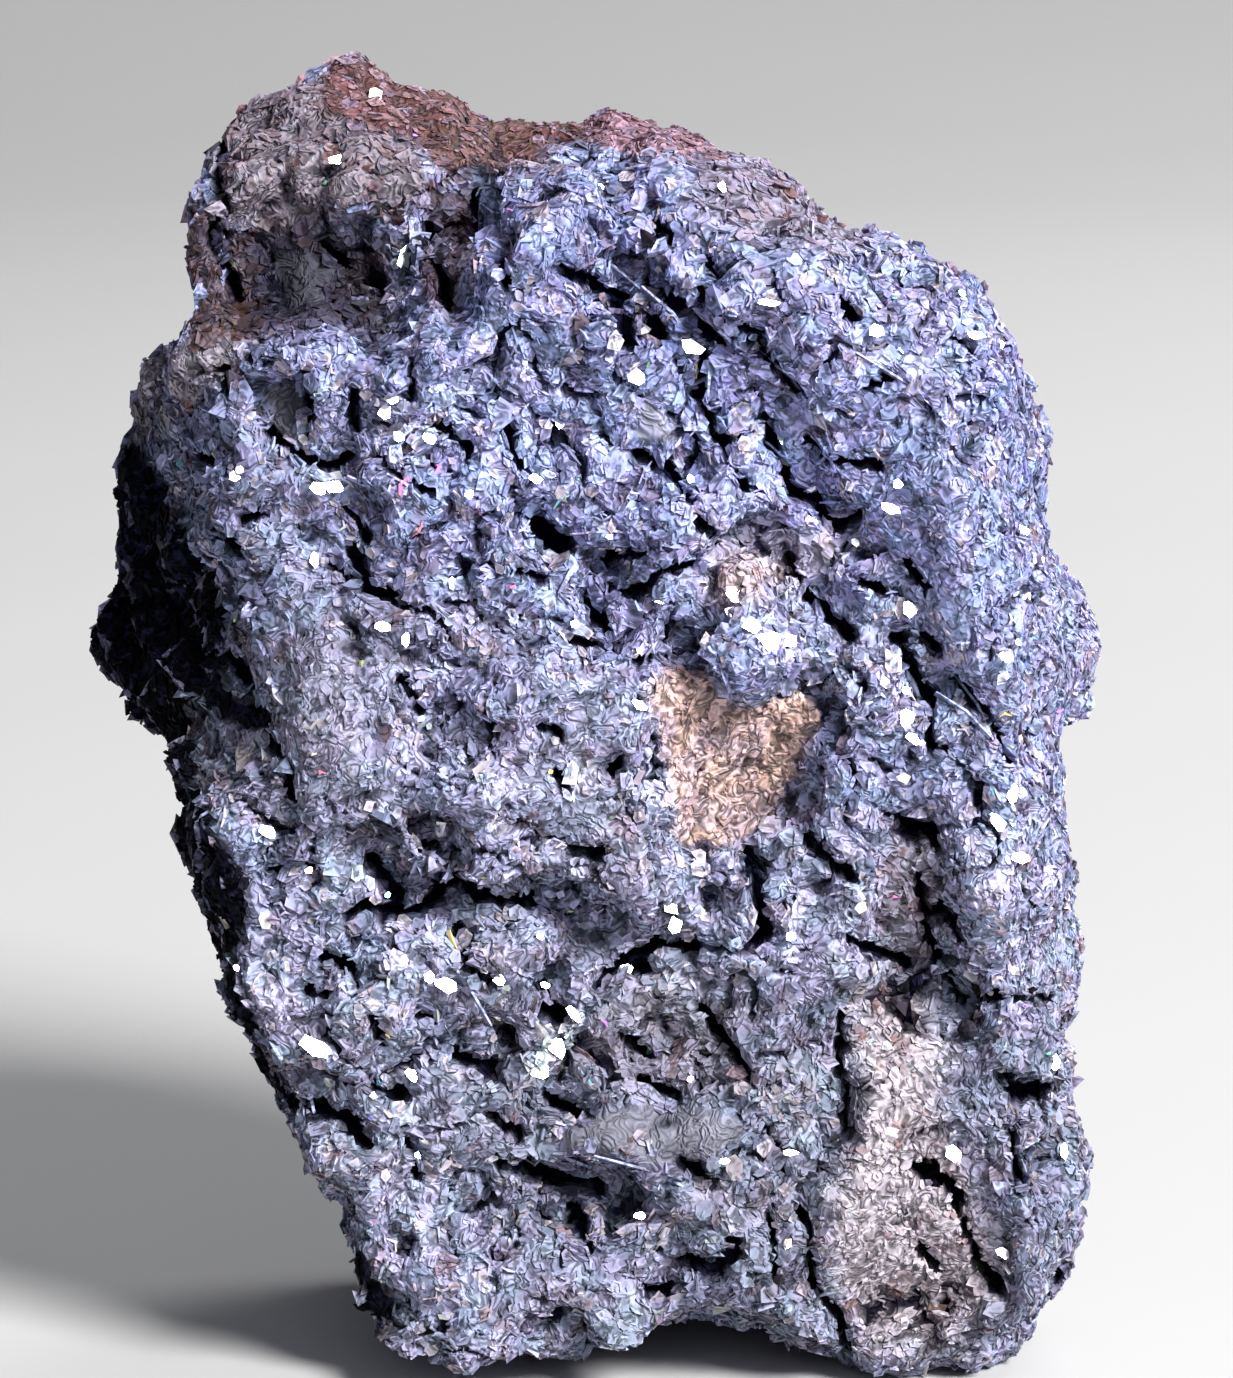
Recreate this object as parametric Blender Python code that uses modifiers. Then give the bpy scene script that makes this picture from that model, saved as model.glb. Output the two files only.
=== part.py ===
"""A hand specimen of specular hematite, one closed solid about 92 mm tall.

The rock is one piece of intergrown hematite plates with an iron-stained crust on top. It starts as
an extruded front outline, which flat fracture planes trim to a block. A voxel remesh rounds it, and
its ledges, hollows, cracks, pits and lumps are made by moving points. It is cut flat where it
stands. +Z is up, and the face with the ochre patch looks along -Y.
"""

import math

import bmesh
import bpy
import numpy as np
from mathutils import Vector, noise

MM = 0.001

# The block before it is trimmed, in millimetres
THICKNESS = 52.0
FIRST_VOXEL = 1.1
FINAL_VOXEL = 0.85
TRIANGLES = 9800

# The front outline as (x, z) in millimetres, clockwise from the peak of the crust
OUTLINE = [
    (-18.2, 94.0), (-14.3, 93.0), (-10.3, 91.1), (-4.6, 89.8), (-0.3, 90.1), (3.0, 89.8),
    (6.2, 88.5), (9.2, 86.3), (12.7, 85.0), (15.6, 83.4), (18.0, 82.0), (18.8, 77.2),
    (20.2, 82.8), (22.4, 81.8), (26.0, 79.4), (29.2, 75.4), (31.0, 71.2), (31.9, 66.1),
    (32.9, 60.2), (33.9, 56.5), (34.8, 52.8), (35.7, 47.7), (35.3, 44.7), (34.4, 41.7),
    (33.7, 38.7), (34.3, 32.8), (34.8, 26.8), (35.6, 20.0), (36.7, 14.7), (37.4, 10.1),
    (37.7, 5.8), (37.1, 2.7), (34.5, 0.4), (32.7, -0.6), (30.9, -2.4), (27.2, -3.9),
    (18.2, -3.9), (14.5, -2.4), (7.8, -0.6), (4.1, -1.4), (-0.3, -3.0), (-4.0, -3.9),
    (-16.7, -3.9), (-18.6, -1.8), (-18.6, 4.1), (-19.3, 8.2), (-22.1, 12.0), (-23.1, 16.1),
    (-26.5, 21.8), (-28.5, 24.9), (-28.9, 28.3), (-30.3, 32.8), (-30.3, 38.9), (-31.7, 42.8),
    (-34.8, 48.0), (-37.2, 51.0), (-38.0, 55.1), (-37.6, 59.8), (-36.4, 64.6), (-35.6, 69.0),
    (-33.0, 72.3), (-28.1, 72.6), (-28.1, 76.3), (-29.1, 79.5), (-28.0, 83.5), (-27.0, 87.1),
    (-25.1, 89.4), (-20.6, 90.1), (-19.3, 91.3),
]

# The point that the block's sides run towards: they draw in and rise a little to the front
SIGHT = (1.6, -492.0, 134.0)

# Fracture faces that trim the block: a point on each and the way it faces, in millimetres
FRACTURES = [
    ((0.0, -22.5, 45.0), (0.00, -1.00, 0.02)),  # the front
    ((0.0, -18.0, 84.0), (0.00, -0.80, 0.60)),  # the brow above the front
    ((-5.0, -16.0, 87.6), (0.02, -0.21, 0.98)),  # the crust's slope
    ((-27.0, -21.5, 50.0), (-0.90, -0.42, 0.04)),  # the left flank
    ((-23.5, -21.0, 22.0), (-0.72, -0.66, -0.20)),  # its lower part
    ((30.5, -20.5, 45.0), (0.70, -0.71, 0.05)),  # the front's right edge
    ((34.0, -13.0, 45.0), (0.95, -0.30, 0.05)),  # the right flank
    ((4.0, 22.5, 40.0), (0.10, 0.99, -0.08)),  # the back
    ((-26.0, 14.5, 45.0), (-0.70, 0.70, 0.08)),  # the back's left edge
    ((28.0, 13.0, 38.0), (0.74, 0.66, -0.10)),  # the back's right edge
    ((2.0, 15.0, 79.0), (0.12, 0.72, 0.68)),  # the back of the crust
    ((-24.0, 10.0, 82.0), (-0.72, 0.45, 0.52)),  # behind the peak
    ((3.0, 18.0, 7.0), (-0.10, 0.80, -0.60)),  # under the back
]

# Patches of the front: corners as (x, z), how far they stand out, softness of their edge
PATCHES = {
    "dark shoulder": (
        [(-40, 72), (-34, 69), (-31, 67), (-29.5, 64), (-28.5, 61), (-26.8, 57), (-26, 53), (-24.5, 49),
         (-25, 46), (-28, 42), (-40, 40)],
        -5.0, 0.9,
    ),
    "upper block": (
        [(-27, 92), (-13, 91), (-8, 88), (-7.5, 83), (-8.5, 76), (-13, 75), (-20.5, 76), (-29, 74)],
        -2.4, 1.0,
    ),
    "hollow under the block": (
        [(-25, 83.5), (-20, 82), (-15, 82.5), (-12.5, 80.5), (-13.8, 77), (-20.5, 75.8),
         (-26.5, 74.5), (-27.5, 78)],
        -5.5, 1.4,
    ),
    "blade": ([(-14, 82), (-12.3, 82.5), (-11, 78), (-11.2, 73.5), (-13.2, 74)], 3.4, 0.8),
    "brown gash": ([(-11, 86), (-8.2, 86), (-8, 81), (-9, 76), (-10.8, 76), (-11.4, 80)], -3.2, 0.9),
    "upper right": (
        [(-7, 86.5), (0, 88), (9, 87), (19, 80), (27, 77), (32, 66), (34, 50), (27, 52), (19, 62),
         (13, 68), (2, 74), (-8, 73)],
        1.2, 2.6,
    ),
    "plateau": (
        [(-22, 53), (-17, 56), (-11, 57), (-2.5, 54), (3.5, 50.5), (4.2, 45.5), (4.8, 40), (7, 34),
         (3.5, 33.8), (-2.5, 35), (-7, 36), (-11, 36.2), (-14, 37.8), (-18.5, 40), (-21.5, 44)],
        2.3, 1.3,
    ),
    "ochre floor": (
        [(3.8, 52.5), (7, 53), (14.5, 52), (16.2, 49), (14.7, 46), (14, 43), (12.6, 40.8), (9, 39),
         (7, 39), (5.5, 40.5), (4.8, 45.5)],
        -3.4, 0.9,
    ),
    "pink floor": ([(8.5, 62), (13, 62), (17.5, 58), (15.5, 54), (11, 56.5), (7.5, 57)], -1.8, 1.0),
    "lens": (
        [(-4.5, 19.6), (-1.5, 19), (1, 18.5), (3.5, 20.4), (7, 21), (8.7, 19.6), (8, 17.4), (4, 16),
         (-2.5, 16.6)],
        1.8, 0.8,
    ),
    "lens recess": ([(-5, 16.6), (0.5, 16), (2.5, 15), (2.6, 10.5), (0.5, 10), (-2.8, 13.2)], -3.4, 0.9),
    "speckled recess": ([(0, 29.5), (7.5, 31.5), (9.8, 27), (9, 22), (3.5, 21), (-0.8, 24)], -1.8, 1.4),
    "brown streak": ([(21, 42), (23.6, 42), (23.8, 35), (24.5, 31), (21.4, 31), (20, 34)], -2.0, 0.9),
    "fine-grained floor": (
        [(18, 29), (25.5, 28.5), (27.5, 22.5), (26.4, 18.5), (29, 6.5), (22, 3.5), (17, 6.5),
         (16.2, 14), (17.8, 21)],
        -1.1, 1.2,
    ),
    "cavity": ([(21, 54.5), (23, 54), (26.2, 51.5), (26, 50), (23, 49.2), (21.8, 51.5)], -3.2, 0.8),
    "lower left lump": ([(-22, 19), (-18.5, 19), (-16, 17.5), (-15.5, 13), (-18, 12), (-21, 14)], 1.6, 1.0),
}

# Cracks in the front: points as (x, z), half width, depth, and how far they run up under the rock
CRACKS = [
    ([(-2.5, 80.5), (0.5, 80.0), (3.5, 78.0), (6.5, 76.5), (10.0, 74.5)], 0.9, 3.0, 0.3),
    ([(12.5, 70.0), (13.0, 67.5), (14.5, 65.0), (18.5, 62.0)], 1.0, 3.4, 0.3),
    ([(13.5, 60.0), (15.5, 57.5), (17.8, 54.8)], 0.9, 3.2, 0.3),
    ([(0.0, 57.2), (3.5, 58.0), (7.0, 59.5)], 1.1, 3.8, 0.5),
    ([(3.0, 52.6), (6.0, 54.0), (9.0, 53.6)], 1.0, 3.2, 0.6),
    ([(-16.5, 38.0), (-14.0, 35.2), (-11.0, 34.4), (-6.5, 35.0), (-2.5, 33.8), (1.0, 32.0)], 1.5, 5.0, 0.8),
    ([(-2.0, 27.5), (0.5, 29.5), (3.5, 31.2), (8.0, 33.2)], 1.0, 3.4, 0.5),
    ([(-25.0, 36.0), (-21.5, 37.3), (-19.0, 38.4)], 0.9, 2.6, 0.6),
    ([(-22.5, 21.2), (-19.5, 20.6), (-17.0, 19.6), (-16.3, 17.6)], 1.1, 4.0, 0.6),
    ([(-10.0, 25.0), (-6.8, 22.6)], 1.2, 3.8, 0.5),
    ([(22.0, 41.5), (22.8, 38.0), (22.4, 34.0), (23.5, 31.5), (25.5, 27.5)], 0.8, 3.4, 0.0),
    ([(17.0, 29.5), (17.5, 25.5), (18.0, 22.0), (17.5, 19.5)], 0.8, 2.6, 0.0),
    ([(14.5, 14.5), (15.7, 11.5), (15.5, 9.0), (17.0, 6.0), (18.2, 2.6)], 0.8, 3.2, 0.0),
    ([(24.0, 18.0), (25.5, 16.5), (27.0, 13.5), (28.0, 10.5), (29.5, 6.5)], 0.8, 3.2, 0.0),
    ([(17.0, 32.5), (19.0, 32.0), (21.0, 31.0), (21.5, 29.0)], 0.8, 2.6, 0.0),
    ([(30.5, 20.0), (30.0, 14.5)], 0.9, 2.2, 0.0),
]

# Pits in the front: centre (x, z), radius and depth
PITS = [
    (-3.5, 61.5, 1.3, 3.2), (2.0, 77.5, 1.4, 3.2), (8.0, 71.5, 1.5, 3.2), (6.5, 67.0, 1.6, 2.8),
    (-21.5, 70.3, 2.0, 3.6), (-16.5, 31.0, 1.3, 3.0), (-19.5, 29.0, 1.0, 2.4), (-2.5, 21.6, 1.8, 4.2),
    (30.5, 21.0, 1.3, 3.8), (-0.5, 39.0, 1.1, 3.0), (1.5, 45.0, 1.0, 2.4), (-10.5, 38.6, 1.6, 4.0),
    (-15.2, 37.6, 1.5, 3.6), (-11.5, 27.5, 1.2, 2.6), (12.6, 33.5, 1.7, 3.0), (14.8, 36.5, 1.6, 3.0),
    (9.0, 36.5, 1.6, 3.2), (13.6, 67.3, 1.4, 3.0), (-6.0, 80.5, 1.1, 2.6), (-15.0, 7.0, 1.8, 2.4),
    (5.0, 9.5, 1.8, 3.0), (-10.5, 68.5, 1.3, 2.4),
]

# Lumps on the front: centre (x, z), radius, how far they stand out and how far they hang over
KNOBS = [
    (11.4, 54.2, 4.4, 4.4, 1.6),  # the bright knob above the ochre floor
    (6.5, 60.5, 2.6, 1.8, 0.0),
    (-25.5, 66.5, 3.4, 1.4, 0.0),
    (31.0, 8.5, 3.8, 1.4, 0.0),
    (-8.0, 5.0, 5.0, 1.2, 0.0),
]

# Lumps all over: size of a lump in millimetres, height, and where its pattern starts
LUMPS = [(16.0, 1.7, 3.1), (8.0, 1.2, 11.7)]
STEP_SIZE = 21.0
STEP_HEIGHT = 2.4
STEPS = 3.0

# Crevices all over: spacing in millimetres, depth, half width as a share, and where they start
CREVICES = [(13.0, 1.9, 0.10, 43.0), (7.0, 1.3, 0.13, 61.0)]

# Tilted flat faces of crystals all over: size in millimetres, tilt, and where their pattern starts
CRYSTALS = [(6.5, 0.38, 17.0), (3.4, 0.26, 83.0)]
CRYSTALS_OFF_FRONT = 0.55

# How far the block is drawn in before its lumps stand out of it
DRAW_IN = 1.5


def smooth_step(low, high, value):
    share = np.clip((value - low) / (high - low), 0.0, 1.0)
    return share * share * (3.0 - 2.0 * share)


def distance_to_line(points, line, closed=False):
    """Distance of each (x, z) point to a line of (x, z) corners."""
    ends = line[1:] + line[:1] if closed else line[1:]
    nearest = np.full(len(points), np.inf)
    for start, end in zip(line, ends, strict=False):
        start, along = np.array(start, float), np.array(end, float) - np.array(start, float)
        share = np.clip((points - start) @ along / (along @ along), 0.0, 1.0)
        gap = points - start - share[:, None] * along
        nearest = np.minimum(nearest, np.hypot(gap[:, 0], gap[:, 1]))
    return nearest


def inside(points, corners):
    """Whether each (x, z) point lies within the closed line of corners."""
    found = np.zeros(len(points), bool)
    for (x0, z0), (x1, z1) in zip(corners, corners[1:] + corners[:1], strict=True):
        if z0 == z1:
            continue
        crosses = (points[:, 1] > min(z0, z1)) & (points[:, 1] <= max(z0, z1))
        at = x0 + (points[:, 1] - z0) * (x1 - x0) / (z1 - z0)
        found ^= crosses & (points[:, 0] < at)
    return found


def patch_share(points, corners, softness):
    """1 well inside the patch, 0 well outside it."""
    depth = distance_to_line(points, corners, closed=True)
    depth = np.where(inside(points, corners), depth, -depth)
    return smooth_step(-softness, softness, depth)


def read_points(mesh):
    """The mesh's points and normals in millimetres, as arrays."""
    points = np.empty(len(mesh.vertices) * 3, np.float32)
    normals = np.empty(len(mesh.vertices) * 3, np.float32)
    mesh.vertices.foreach_get("co", points)
    mesh.vertex_normals.foreach_get("vector", normals)
    return points.reshape(-1, 3) / MM, normals.reshape(-1, 3).astype(float)


def write_points(mesh, points):
    mesh.vertices.foreach_set("co", (points * MM).astype(np.float32).ravel())
    mesh.update()


def noise_at(points, size, start):
    """Smooth noise from -1 to 1 with lumps of this size."""
    shift = Vector((start, -start, start * 0.5))
    return np.array([noise.noise(Vector(p) / size + shift) for p in points])


def crystals_at(points, size, start):
    """Height from -1 to 1 of flat faces about this size, each tilted its own way, with steps between."""
    shift = Vector((start, start * 0.3, -start))
    height = np.empty(len(points))
    for number, point in enumerate(points):
        place = Vector(point) / size + shift
        centre = noise.voronoi(place)[1][0]
        tilt = noise.cell_vector(centre * 37.0) * 2.0 - Vector((1.0, 1.0, 1.0))
        height[number] = (place - centre).dot(tilt)
    return height


def apply_modifiers(obj):
    """Bakes the object's modifiers into its mesh."""
    graph = bpy.context.evaluated_depsgraph_get()
    mesh = bpy.data.meshes.new_from_object(obj.evaluated_get(graph))
    obj.modifiers.clear()
    obj.data = mesh


def block_from_outline():
    """The outline, extruded along Y, as a mesh object with triangulated faces."""
    curve = bpy.data.curves.new("outline", "CURVE")
    curve.dimensions = "2D"
    curve.fill_mode = "BOTH"
    curve.extrude = THICKNESS * MM / 2
    spline = curve.splines.new("POLY")
    spline.points.add(len(OUTLINE) - 1)
    for point, (x, z) in zip(spline.points, OUTLINE, strict=True):
        point.co = (x * MM, z * MM, 0.0, 1.0)
    spline.use_cyclic_u = True
    guide = bpy.data.objects.new("outline", curve)
    guide.rotation_euler = (math.pi / 2, 0.0, 0.0)
    bpy.context.scene.collection.objects.link(guide)
    bpy.context.view_layer.update()
    graph = bpy.context.evaluated_depsgraph_get()
    mesh = bpy.data.meshes.new_from_object(guide.evaluated_get(graph))
    mesh.transform(guide.matrix_world)
    bpy.data.objects.remove(guide)
    points, _ = read_points(mesh)
    scale = 1.0 - points[:, 1] / SIGHT[1]
    points[:, 0] = SIGHT[0] + (points[:, 0] - SIGHT[0]) * scale
    points[:, 2] = SIGHT[2] + (points[:, 2] - SIGHT[2]) * scale
    write_points(mesh, points)
    return mesh


def trim_block(mesh):
    """Cuts the fracture faces off the block."""
    work = bmesh.new()
    work.from_mesh(mesh)
    bmesh.ops.remove_doubles(work, verts=work.verts, dist=0.01 * MM)
    for point, normal in FRACTURES:
        everything = work.verts[:] + work.edges[:] + work.faces[:]
        cut = bmesh.ops.bisect_plane(
            work, geom=everything, plane_co=Vector(point) * MM, plane_no=Vector(normal), clear_outer=True
        )
        rim = [item for item in cut["geom_cut"] if isinstance(item, bmesh.types.BMEdge)]
        bmesh.ops.holes_fill(work, edges=rim)
    bmesh.ops.recalc_face_normals(work, faces=work.faces)
    work.to_mesh(mesh)
    work.free()


def remesh(obj, voxel):
    modifier = obj.modifiers.new("remesh", "REMESH")
    modifier.mode = "VOXEL"
    modifier.voxel_size = voxel * MM
    apply_modifiers(obj)


def soften(obj, factor, rounds):
    modifier = obj.modifiers.new("soften", "SMOOTH")
    modifier.factor = factor
    modifier.iterations = rounds
    apply_modifiers(obj)


def shape_front(mesh):
    """Moves the front's points for its patches, lumps, cracks and pits."""
    points, normals = read_points(mesh)
    flat = points[:, [0, 2]]
    # Uneven edges, so that no patch ends along a straight line
    flat[:, 0] += 1.1 * noise_at(points, 3.4, 5.0) + 0.5 * noise_at(points, 1.6, 8.0)
    flat[:, 1] += 1.1 * noise_at(points, 3.4, 51.0) + 0.5 * noise_at(points, 1.6, 58.0)
    faces_front = smooth_step(0.05, 0.55, -normals[:, 1])
    out = np.zeros(len(points))
    rise = np.zeros(len(points))
    for corners, height, softness in PATCHES.values():
        out += height * patch_share(flat, corners, softness)
    for x, z, radius, height, overhang in KNOBS:
        reach = np.hypot(flat[:, 0] - x, flat[:, 1] - z) / radius
        dome = np.sqrt(np.clip(1.0 - reach**2, 0.0, 1.0))
        out += height * dome
        rise -= overhang * dome
    for line, half_width, depth, lean in CRACKS:
        share = np.clip(1.0 - (distance_to_line(flat, line) / (half_width + 0.35)) ** 2, 0.0, 1.0)
        out -= depth * share
        rise += depth * lean * share
    for x, z, radius, depth in PITS:
        reach = np.hypot(flat[:, 0] - x, flat[:, 1] - z) / (radius + 0.3)
        out -= depth * np.clip(1.0 - reach**2, 0.0, 1.0)
    points[:, 1] -= out * faces_front
    points[:, 2] += rise * faces_front
    write_points(mesh, points)


def roughen(mesh):
    """Lumps, ledges, crevices and tilted crystal faces on every side."""
    points, normals = read_points(mesh)
    faces_front = smooth_step(0.05, 0.55, -normals[:, 1])
    height = np.zeros(len(points))
    for size, tall, start in LUMPS:
        height += tall * noise_at(points, size, start)
    level = STEPS * noise_at(points * (1.0, 1.0, 1.6), STEP_SIZE, 71.3)
    stair = np.floor(level) + smooth_step(0.3, 0.7, level - np.floor(level))
    height += STEP_HEIGHT * stair / STEPS * (1.0 - 0.6 * faces_front)
    for size, depth, width, start in CREVICES:
        line = np.abs(noise_at(points, size, start))
        height -= depth * np.clip(1.0 - line / width, 0.0, 1.0) * smooth_step(
            -0.25, 0.15, noise_at(points, size * 1.7, start + 9.0)
        )
    share = CRYSTALS_OFF_FRONT + (1.0 - CRYSTALS_OFF_FRONT) * faces_front
    for size, tilt, start in CRYSTALS:
        height += size * tilt * share * crystals_at(points, size, start)
    height -= height.mean() + DRAW_IN
    write_points(mesh, points + height[:, None] * normals)


def thin_out(obj, triangles):
    """Collapses edges until the mesh has about this many triangles."""
    obj.data.calc_loop_triangles()
    modifier = obj.modifiers.new("thin", "DECIMATE")
    modifier.ratio = triangles / len(obj.data.loop_triangles)
    apply_modifiers(obj)


def cut_foot(obj):
    """Cuts the underside flat at z = 0, with a Boolean against a block below it."""
    bpy.ops.mesh.primitive_cube_add(size=1.0, location=(0.0, 0.0, -10.0 * MM))
    ground = bpy.context.object
    ground.name = "ground_cutter"
    ground.scale = (150.0 * MM, 120.0 * MM, 20.0 * MM)
    modifier = obj.modifiers.new("foot", "BOOLEAN")
    modifier.operation = "DIFFERENCE"
    modifier.object = ground
    apply_modifiers(obj)
    bpy.data.objects.remove(ground)


def hematite_material():
    material = bpy.data.materials.new("specular_hematite")
    material.use_nodes = True
    shader = material.node_tree.nodes["Principled BSDF"]
    shader.inputs["Base Color"].default_value = (0.15, 0.16, 0.20, 1.0)
    shader.inputs["Metallic"].default_value = 0.8
    shader.inputs["Roughness"].default_value = 0.42
    return material


def centre_on_origin(mesh):
    """Puts the origin under the middle of the rock's bounding box."""
    points, _ = read_points(mesh)
    middle = (points.min(axis=0) + points.max(axis=0)) / 2
    points[:, :2] -= middle[:2]
    write_points(mesh, points)


def build_specimen(collection):
    mesh = block_from_outline()
    trim_block(mesh)
    rock = bpy.data.objects.new("specular_hematite", mesh)
    collection.objects.link(rock)
    remesh(rock, FIRST_VOXEL)
    soften(rock, 0.5, 4)
    shape_front(rock.data)
    remesh(rock, FINAL_VOXEL)
    soften(rock, 0.5, 1)
    roughen(rock.data)
    remesh(rock, FINAL_VOXEL)
    soften(rock, 0.4, 1)
    thin_out(rock, TRIANGLES)
    cut_foot(rock)
    centre_on_origin(rock.data)
    rock.data.materials.clear()
    rock.data.materials.append(hematite_material())
    rock.data.shade_flat()


def main():
    for obj in list(bpy.data.objects):
        bpy.data.objects.remove(obj)
    collection = bpy.data.collections.new("specular hematite specimen")
    bpy.context.scene.collection.children.link(collection)
    build_specimen(collection)


main()
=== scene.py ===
"""Looks of the specular hematite specimen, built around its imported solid.

The stone is a fine remesh of the solid with deeper pits and cracks. Thousands of small closed plates,
joined by side of the rock, cover it as the real mineral's plates do. Stains, an ochre floor and a
rusty crust are values on the meshes, which both the plates and the materials follow.
"""

import math

import bmesh
import bpy
import numpy as np
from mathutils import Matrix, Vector, kdtree, noise
from mathutils.bvhtree import BVHTree


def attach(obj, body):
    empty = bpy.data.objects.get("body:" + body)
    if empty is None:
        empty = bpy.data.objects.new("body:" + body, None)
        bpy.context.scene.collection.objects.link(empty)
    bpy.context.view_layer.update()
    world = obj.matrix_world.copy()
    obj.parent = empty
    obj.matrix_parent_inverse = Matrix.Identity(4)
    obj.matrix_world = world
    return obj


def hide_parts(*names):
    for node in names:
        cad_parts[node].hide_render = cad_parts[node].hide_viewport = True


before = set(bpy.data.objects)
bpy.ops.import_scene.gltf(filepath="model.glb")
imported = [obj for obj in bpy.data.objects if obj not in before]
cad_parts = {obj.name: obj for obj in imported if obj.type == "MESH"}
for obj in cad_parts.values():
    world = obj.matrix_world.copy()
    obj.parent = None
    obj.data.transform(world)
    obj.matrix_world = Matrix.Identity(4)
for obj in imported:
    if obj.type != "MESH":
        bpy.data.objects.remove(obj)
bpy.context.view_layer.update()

NODE = "specular_hematite"
MM = 0.001
SEED = 20261

# The camera and what it looks at, in millimetres, and the angle it looks down at
AIM = np.array([1.55, 0.21, 47.0])
CAMERA_DISTANCE = 500.0
CAMERA_RISE = math.radians(10.0)
LENS = 178.95
CAMERA_FROM = np.array([0.0, -math.cos(CAMERA_RISE), math.sin(CAMERA_RISE)])

# Each light's name, direction, distance and size in metres, power in watts and colour
KEY_FROM = np.array([0.52, -0.62, 0.58])
LIGHTS = (
    ("key", KEY_FROM, 1.5, 0.55, 53.0, (1.0, 0.99, 0.98)),
    ("fill", (0.1, -1.0, 0.35), 0.9, 0.6, 0.8, (0.92, 0.95, 1.0)),
    ("back", (0.6, 1.0, 0.9), 1.0, 0.6, 5.0, (1.0, 1.0, 1.0)),
)
SKY_STRENGTH = 0.16

# The stone's mesh, and the spacing of the plates on it, in millimetres
STONE_VOXEL = 0.42
STONE_TRIANGLES = 190000
FRONT_SPACING = 0.48
FAR_SPACING = 0.82

# The curling bands of the materials: the size of their noise in millimetres, and how many bands it has
CURL_SIZE = 1.4
CURL_COUNT = 9.0

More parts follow.
